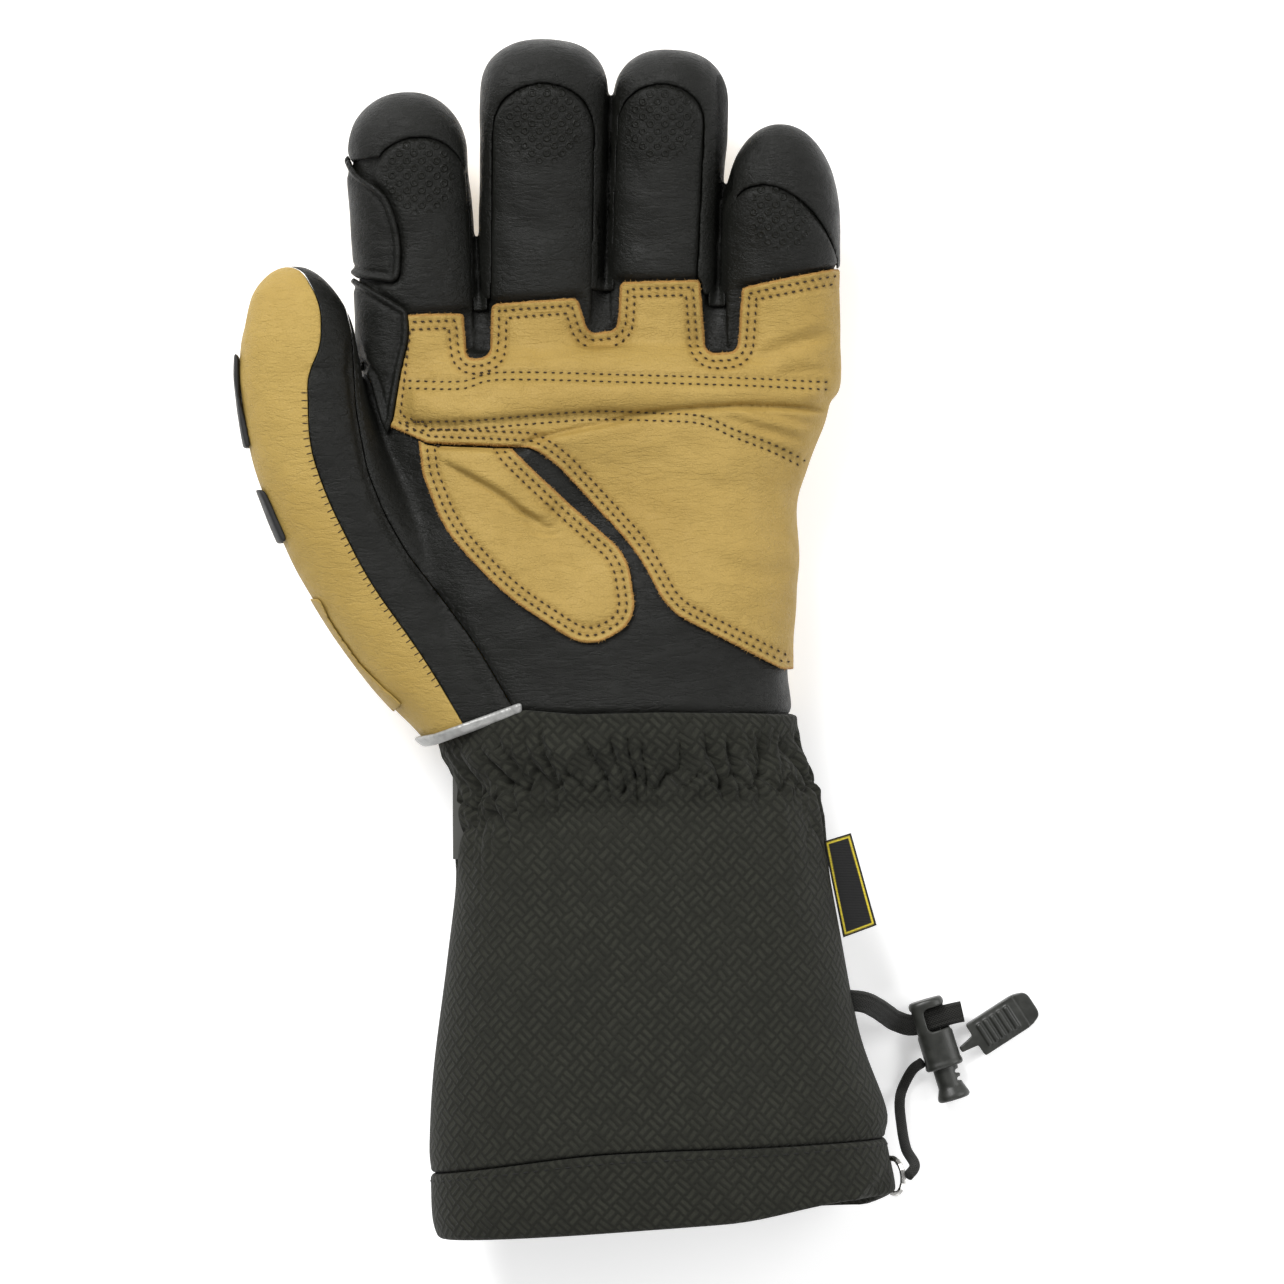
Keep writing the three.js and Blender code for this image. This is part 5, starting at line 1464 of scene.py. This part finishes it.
def rows_inside(edge, insets):
    """Lines along an outline, at insets from its edge."""
    found = []
    ahead = unit(np.roll(edge, -1, 0) - np.roll(edge, 1, 0))
    inward = np.stack([-ahead[:, 1], ahead[:, 0]], 1) * turning(edge)
    for inset in insets:
        line = edge + inward * inset
        keep, _ = line_distance(line, edge, True)
        found.append(line[keep > inset * 0.9])
    return found


def rows_of_stitches(tree, lines, closed=True, pitch=STITCH_PITCH, least_up=0.3):
    spots = []
    for line in lines:
        where, ahead = even_points(line, pitch, closed)
        spots += on_surface(tree, where, ahead, least_up)
    return spots


def patch(name, rows, replaces, extra_lines, cut, voxel):
    """A tan reinforcement with its rows of stitches and its rough edge."""
    edge = on_palm(rows)
    mesh = skin_piece(prism(edge), voxel)
    for cutter in cut:
        mesh = boolean(mesh, cutter, "DIFFERENCE")
    sculpted(mesh)
    tree = tree_of(mesh)
    fine_edge = even_points(edge, 0.8)[0]
    spots = rows_of_stitches(tree, rows_inside(fine_edge, EDGE_INSETS))
    spots += rows_of_stitches(tree, extra_lines, closed=False)
    dress_patch(mesh, edge, spots)
    stitches(name + "_stitches", spots, 0.95, 0.52, 0.12, dark_thread)
    hairs = fibres(tree, edge, turning(edge), 7)
    fuzz = make_mesh(name + "_fibres", *beads(hairs, FIBRE_LENGTH, 0.13, 0, [(0, 1), (1, 0.25)], 3, 8))
    piece(name + "_fibres", fuzz, fibre)
    piece(name, mesh, tan_leather, replaces)


bar_lines = [palm_line(row) - (0, ROW_APART * k) for row in (BAR_ROW_TOP, BAR_ROW_LOW) for k in range(2)]
index_area = [prism(on_palm(INDEX_PATCH_UPPER, FIT)), prism(on_palm(INDEX_PATCH_LOWER, FIT))]
patch("palm_reinforcement", PALM_PATCH, ("palm_patch",), bar_lines, index_area, PATCH_VOXEL)
patch("thumb_web_reinforcement", THUMB_WEB_PATCH, ("thumb_web_patch",), (),
    [prism(on_palm(PALM_PATCH, FIT))], OVERLAY_VOXEL)

# Black side patches of the index finger
thumb_clear = outward(make_mesh("thumb", *thumb_form(FIT)))
for rows, name in ((INDEX_PATCH_UPPER, "index_patch_upper"), (INDEX_PATCH_LOWER, "index_patch_lower")):
    edge = on_palm(rows)
    mesh = boolean(over_skin, prism(edge), "INTERSECT")
    mesh = boolean(mesh, under_skin, "DIFFERENCE")
    mesh = boolean(mesh, below_seam(FIT), "DIFFERENCE")
    mesh = boolean(mesh, box_mesh((-200, -50, -50), (INDEX_PATCH_LEFT, 200, 200)), "DIFFERENCE")
    mesh = boolean(mesh, thumb_clear, "DIFFERENCE")
    mesh = rounded(mesh, OVERLAY_VOXEL, 4)
    sculpted(mesh)
    p = points_of(mesh)
    away = line_distance(p, edge, True)[0]
    welt = 0.75 * np.exp(-((away - 0.7) / 0.65) ** 2) - 0.45 * np.exp(-((away - 2.1) / 0.7) ** 2)
    p += normals_of(mesh) * welt[:, None]
    set_points(mesh, p)
    spots = rows_of_stitches(tree_of(mesh), rows_inside(even_points(edge, 0.8)[0], (2.0,)))
    stitches(name + "_stitches", spots, 1.2, 0.45, 0.1, black_thread)
    piece(name + "_leather", mesh, black_leather, (name,))

# Fingertip caps
patch_clear = prism(on_palm(PALM_PATCH, FIT))
for finger in FINGERS:
    name = finger[0]
    length, start, side, forward = finger_line(finger)
    cap_left, cap_right = finger[-2:]
    reach = FINGER_WIDTH * 0.56

    def plan(x, y):
        return (start + side * x + forward * y)[:2]

    around = np.array([
        plan(-reach, length * cap_left), plan(-0.01, length * cap_left), plan(0.01, length * cap_right),
        plan(reach, length * cap_right), plan(reach, length * 1.2), plan(-reach, length * 1.2)])
    mesh = boolean(over_skin, prism(around), "INTERSECT")
    mesh = boolean(mesh, under_skin, "DIFFERENCE")
    mesh = boolean(mesh, prism(cap_window(finger), 12), "DIFFERENCE")
    mesh = boolean(mesh, below_seam(FIT), "DIFFERENCE")
    for cutter in index_area + [patch_clear]:
        mesh = boolean(mesh, cutter, "DIFFERENCE")
    mesh = rounded(mesh, CAP_VOXEL, 5)
    piece("cap_" + name + "_leather", mesh, black_leather, ("cap_" + name,))

# Thumb guards, base patch and piping
guard_skin = inflated(GUARD + FIT)
for rows, name in ((THUMB_GUARD_UPPER, "thumb_guard_upper"), (THUMB_GUARD_LOWER, "thumb_guard_lower")):
    mesh = boolean(guard_skin, prism(on_thumb(rows), PALM_DEPTH * 0.42, PALM_DEPTH * 0.86), "INTERSECT")
    mesh = rounded(boolean(mesh, under_skin, "DIFFERENCE"), OVERLAY_VOXEL, 4)
    piece(name + "_rubber", mesh, rubber, (name,))

edge = on_thumb(THUMB_BASE_PATCH)
mesh = boolean(inflated(0.75), prism(edge, PALM_DEPTH * 0.38, PALM_DEPTH), "INTERSECT")
mesh = boolean(mesh, under_skin, "DIFFERENCE")
mesh = rounded(boolean(mesh, hand_side(3), "INTERSECT"), BASE_TAB_VOXEL, 3)
piece("thumb_base_tab", mesh, tan_plain, ("thumb_base_patch",))

mesh = boolean(over_skin, hand_side(FIT), "INTERSECT")
mesh = boolean(mesh, hand_side(FIT + 2.6), "DIFFERENCE")
mesh = boolean(mesh, box_mesh((-200, -200, PALM_DEPTH * 0.2), (PIPING_END * PALM_WIDTH, 200, 200)),
    "INTERSECT")
mesh = rounded(boolean(mesh, under_skin, "DIFFERENCE"), PIPING_VOXEL, 10)
p = points_of(mesh)
set_points(mesh, p + normals_of(mesh) * 0.35)
piece("wrist_piping_strip", mesh, silver, ("wrist_piping",))

# The hand's shell in its leathers
lining = lining_surface()
shell = boolean(surface, hand_side(FIT), "INTERSECT")
shell = boolean(shell, lining, "DIFFERENCE")
beyond_panel = prism(on_thumb(THUMB_PANEL, FIT))
above = boolean(boolean(shell, below_seam(FIT), "DIFFERENCE"), beyond_panel, "DIFFERENCE")
below = boolean(boolean(shell, below_seam(), "INTERSECT"), beyond_panel, "DIFFERENCE")
panel = boolean(shell, prism(on_thumb(THUMB_PANEL)), "INTERSECT")
gusset = boolean(above, prism(on_palm(THUMB_GUSSET)), "INTERSECT")
above = boolean(above, prism(on_palm(THUMB_GUSSET, FIT)), "DIFFERENCE")
sculpted(above)
sculpted(gusset)
shell_tree = tree_of(above)
seam_line = palm_line(THUMB_SEAM[:-1])
spots = rows_of_stitches(shell_tree, [seam_line + (1.7, 0)], False, 2.6)
stitches("thumb_seam_stitches", spots, 1.5, 0.4, 0.08, black_thread)
panel_line = on_thumb(THUMB_PANEL)
panel_line = panel_line[(panel_line[:, 1] > -8) & (panel_line[:, 1] < 95) & (panel_line[:, 0] > -95)]
where, ahead = even_points(panel_line, 2.1, False)
ticks = on_surface(tree_of(panel), where - (0.8, 0), np.stack([-ahead[:, 1], ahead[:, 0]], 1), 0.1)
stitches("thumb_panel_stitches", ticks, 1.7, 0.45, 0.1, dark_thread)
piece("palm_side_leather", above, black_pads, ("hand_palm",))
piece("thumb_gusset_leather", gusset, black_leather, ("thumb_gusset",))
piece("back_leather", below, tan_plain, ("hand_back",))
piece("thumb_back_leather", panel, tan_plain, ("thumb_panel",))


# Cuff
CUFF_FINE = through(CUFF_ROWS, 140)
HEM_START = 1 - HEM_HEIGHT / CUFF_LENGTH
HEM_STITCH_ROW = 9
CUFF_COUNT = 520


def cuff_points(along, turns, grow):
    """Points of the cuff over a grid: along is its share of the length, by row and column."""
    middle, wide, deep = (np.interp(along, CUFF_FINE[:, 0], CUFF_FINE[:, k]) for k in (1, 2, 3))
    wrist = np.clip(1 - along / 0.2, 0, 1)
    half = wide * CUFF_WIDTH / 2 * (1 - wrist) + wide / 0.785 * WRIST_WIDTH / 2 * wrist + grow
    depth = deep * CUFF_DEPTH * (1 - wrist) + deep / 0.727 * WRIST_DEPTH * wrist + 1
    exponent = np.where(np.sin(turns) < 0, 2 / 2.8, 2 / 2.3)
    x = middle * CUFF_WIDTH + half * power(np.cos(turns), exponent)
    z = depth / 2 - 1 + (depth / 2 + grow) * power(np.sin(turns), exponent)
    return np.stack([x, -along * CUFF_LENGTH, z], -1)


def even_turns(count):
    """Turns round the cuff whose points are evenly spaced."""
    fine = np.linspace(0, 2 * np.pi, 4001)
    ring = cuff_points(np.full(fine.shape, 0.15), fine, 0)
    travelled = np.concatenate([[0], np.cumsum(np.linalg.norm(np.diff(ring, axis=0), axis=1))])
    return np.interp(np.arange(count) / count * travelled[-1], travelled, fine)


TURNS = even_turns(CUFF_COUNT)
AROUND = np.arange(CUFF_COUNT) / CUFF_COUNT


def wrist_start(gap):
    """The share of the cuff's length at which each column meets the wrist seam."""
    low, high = np.full(CUFF_COUNT, -0.2), np.full(CUFF_COUNT, 0.2)
    for _ in range(30):
        middle = (low + high) / 2
        spot = turn_cuff(cuff_points(middle, TURNS, 0))
        beyond = spot[:, 1] > np.interp(spot[:, 0], wrist_line[:, 0], wrist_line[:, 1]) - gap
        low, high = np.where(beyond, middle, low), np.where(beyond, high, middle)
    return high


def wave(around, *terms):
    """A sum of waves round the cuff: how many, how strong and where each starts."""
    return sum(strength * np.sin(2 * np.pi * (count * around) + start) for count, strength, start in terms)


def puff(phase, sharp=0.5):
    """Rounded bumps between sharp valleys."""
    return np.abs(np.sin(phase)) ** sharp


def gathers(below, around, turns):
    """Puckers above the elastic's stitched line, long folds under it and broad folds beyond."""
    slant = wave(around, (3, 0.6, 1.0), (8, 0.7, 0.3))
    warp = wave(around, (5, 0.5, 0.2), (11, 0.45, 2.0), (19, 0.3, 4.0))
    side = np.abs(np.cos(turns)) ** 2
    strong = 1 + wave(around, (7, 0.22, 1.5), (13, 0.2, 0.4))
    ends = 29 + 17 * side + wave(around, (6, 3, 0), (15, 2, 1.1), (23, 1.5, 3))
    upper = puff(np.pi * PUCKERS * around + warp + slant * below / 7, 0.45)
    high = PUCKER_HEIGHT * strong * smoothstep(below, 0.8,
        11) * (1 - smoothstep(below, 17, ends)) * (upper - 0.4)
    fine = puff(np.pi * FOLDS * 1.7 * around + 2 * warp - slant * below / 5, 0.6)
    high += 0.9 * np.exp(-((below - ELASTIC_BELOW) / 6.5) ** 2) * (fine - 0.5)
    high += 0.35 * smoothstep(below, 1, 5) * (1 - smoothstep(below, 20, 30)) * np.sin(
        below / 1.9 + 5 * wave(around, (9, 1, 0.7), (17, 0.6, 2.2)))
    zigzag = np.abs(((around * ZIGZAGS) % 1) * 2 - 1) * 2 - 1
    line = ELASTIC_BELOW + 2.4 * zigzag + wave(around, (4, 0.5, 0.9))
    high -= 1.3 * np.exp(-((below - line) / 0.85) ** 2)
    reach = 5 + 11 * side + wave(around, (6, 2, 0), (15, 2, 1.1), (23, 1.5, 3))
    lower = puff(np.pi * FOLDS * around + 1.1 * warp + wave(around, (9, 0.4, 1)) * below / 14, 0.5)
    falling = np.exp(-np.clip(below - ELASTIC_BELOW - 1, 0, None) / np.clip(reach, 3, None))
    high += (0.6 + side) * strong * smoothstep(below, line, line + 3) * falling * (lower - 0.4)
    broad = wave(around + below * 0.0006, (4, 0.5, 0.4), (7, 0.35, 1.9)) * smoothstep(below, 18, 60)
    return high + broad


def end_rounding(away, radius):
    """How far a surface draws in near a rounded end."""
    t = np.clip(1 - away / radius, 0, 1)
    return radius * (1 - np.sqrt(1 - t * t))


# The line in plan along which the hem's corner is turned under, from the hem's edge to the cuff's side.
TUCK_LINE = np.array([(76.5, -117), (73, -123), (66, -131), (60, -138)])


def cuff_piece(name, start, stop, shares, inner_rows, replaces, extra=0.0, tucked=False):
    """A closed wall between the outer surface, with its folds, and a plain inside."""
    top = wrist_start(0)
    along = start + (stop - start) * shares[:, None]
    below = (along - top) * CUFF_LENGTH
    draw = end_rounding((along - start) * CUFF_LENGTH, 1.3) + end_rounding((stop - along) * CUFF_LENGTH,
        1.3)
    lift = gathers(below, AROUND, TURNS) + extra
    outer = cuff_points(along, TURNS, -draw)
    outer[..., 0] += lift * np.cos(TURNS)
    outer[..., 2] += lift * np.sin(TURNS)
    if tucked:
        plan = turn_cuff(outer)
        side = line_side(plan.reshape(-1, 3), TUCK_LINE)[0].reshape(lift.shape)
        ridge = 0.7 * np.exp(-((side + 1) / 1.2) ** 2) - 1.1 * np.exp(-((side - 0.5) / 0.8) ** 2)
        outer[..., 2] += (ridge - 2.4 * smoothstep(side, 0, 2.5)) * smoothstep(np.sin(TURNS), 0.15, 0.5)
    outer[..., 2] = np.maximum(outer[..., 2], 0.02)
    inside_along = start + (stop - start) * np.linspace(0, 1, inner_rows)[:, None]
    inner = cuff_points(inside_along, TURNS, -CUFF_WALL)
    inner[..., 2] = np.maximum(inner[..., 2], 1.2)
    grid = turn_cuff(np.vstack([outer, inner[::-1]]))
    rows = len(grid)
    i, j = np.meshgrid(np.arange(rows), np.arange(CUFF_COUNT), indexing="ij")
    near, far = i * CUFF_COUNT, (i + 1) % rows * CUFF_COUNT
    beside = (j + 1) % CUFF_COUNT
    faces = np.stack([near + j, far + j, far + beside, near + beside], -1).reshape(-1, 4)
    mesh = make_mesh(name, grid.reshape(-1, 3), faces)
    plain = np.vstack([cuff_points(along, TURNS, 0), cuff_points(inside_along, TURNS, 0)[::-1]])
    size = np.linalg.norm(np.roll(plain, -1, 1) - plain, axis=2).sum(1)
    here, after = size[i], size[(i + 1) % rows]
    left, right = j / CUFF_COUNT - 0.25, (j + 1) / CUFF_COUNT - 0.25
    u = np.stack([here * left, after * left, after * right, here * right], -1)
    v = -grid[..., 1]
    v = np.stack([v, np.roll(v, -1, 0), np.roll(np.roll(v, -1, 0), -1, 1), np.roll(v, -1, 1)], -1)
    layer = mesh.uv_layers.new(name="cloth")
    layer.data.foreach_set("uv", (np.stack([u, v], -1) * MM).astype(np.float32).ravel())
    piece(name, mesh, fabric, replaces)
    return grid[:len(outer)]


def hem_line(lift=0.0):
    """The hem's seam, which bows a little towards the hand on the palm side."""
    facing = np.clip(np.sin(TURNS), 0, 1)
    bow = 1.6 * facing + 2 * facing**1.5 * np.exp(-((np.cos(TURNS) + 0.25) / 0.55) ** 2)
    return HEM_START - (bow - lift) / CUFF_LENGTH


shares = np.concatenate([np.linspace(0, 0.28, 70, endpoint=False),
    np.linspace(0.28, 0.45, 24, endpoint=False),
                         np.linspace(0.45, 0.985, 30, endpoint=False), np.linspace(0.985, 1, 6)])
cuff_piece("cuff_cloth", wrist_start(-1.0), hem_line(-0.15), shares, 14, ("cuff_shell",))
shares = np.concatenate([np.linspace(0, 0.08, 8, endpoint=False),
    np.linspace(0.08, 0.92, 30, endpoint=False),
                         np.linspace(0.92, 1, 8)])
hem_end = 1 - (1.5 + 3 * smoothstep(np.cos(TURNS), 0.2, 0.8)) * np.clip(np.sin(TURNS) * 2 + 1, 0,
    1) / CUFF_LENGTH
hem = cuff_piece("cuff_hem_cloth", hem_line(0.15), hem_end, shares, 10, ("cuff_hem",), 0.25, True)
spots = []
for k in range(0, CUFF_COUNT, 5):
    spot, beside, below = hem[HEM_STITCH_ROW, k], hem[HEM_STITCH_ROW,
        (k + 1) % CUFF_COUNT], hem[HEM_STITCH_ROW + 1, k]
    along = unit(beside - spot)
    if spot[2] > 3:
        spots.append((spot, along, unit(np.cross(below - spot, along))))
stitches("hem_stitches", spots, 1.7, 0.45, 0.0, black_thread)

# Side label: a bare woven tag with a thin border, a little curled
low, high = (np.array(v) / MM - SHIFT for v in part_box("side_label"))
corners = np.array([(57.6, -31.4), (65.2, -29.1), (72.4, -54.9), (63.0, -58.3)])
count_x, count_y = 40, 90
tag = []
for level in (0.3, -0.3):
    for v in np.linspace(0, 1, count_y):
        for u in np.linspace(0, 1, count_x):
            top, foot = corners[0] * (1 - u) + corners[1] * u, corners[3] * (1 - u) + corners[2] * u
            spot = top * (1 - v) + foot * v
            curl = -1.6 * u * u + 0.5 * math.sin(5 * v + 1) * u
            tag.append((spot[0], spot[1], (low[2] + high[2]) / 2 + level + curl))
faces = []
for level in range(2):
    for r in range(count_y - 1):
        for k in range(count_x - 1):
            a = level * count_x * count_y + r * count_x + k
            square = (a, a + 1, a + count_x + 1, a + count_x)
            faces.append(square[::-1] if level == 0 else square)
rim = list(range(count_x)) + [r * count_x + count_x - 1 for r in range(1, count_y)]
rim += [(count_y - 1) * count_x + k for k in range(count_x - 2, -1,
    -1)] + [r * count_x for r in range(count_y - 2, 0, -1)]
for a, b in zip(rim, rim[1:] + rim[:1]):
    faces.append((a, b, b + count_x * count_y, a + count_x * count_y))
mesh = make_mesh("side_label_tag", tag, faces)
away = line_distance(np.array(tag), corners, True)[0]
attribute(mesh, "border", (1 - smoothstep(away, 0.95, 1.15)) * smoothstep(away, 0.55, 0.7))
piece("side_label_tag", mesh, label_weave, ("side_label",), smooth=False)

for name, material in (("wrist_side_tab", light_weave), ("hem_ring", ring_steel)):
    bpy.data.objects[name].data.materials.clear()
    bpy.data.objects[name].data.materials.append(material)
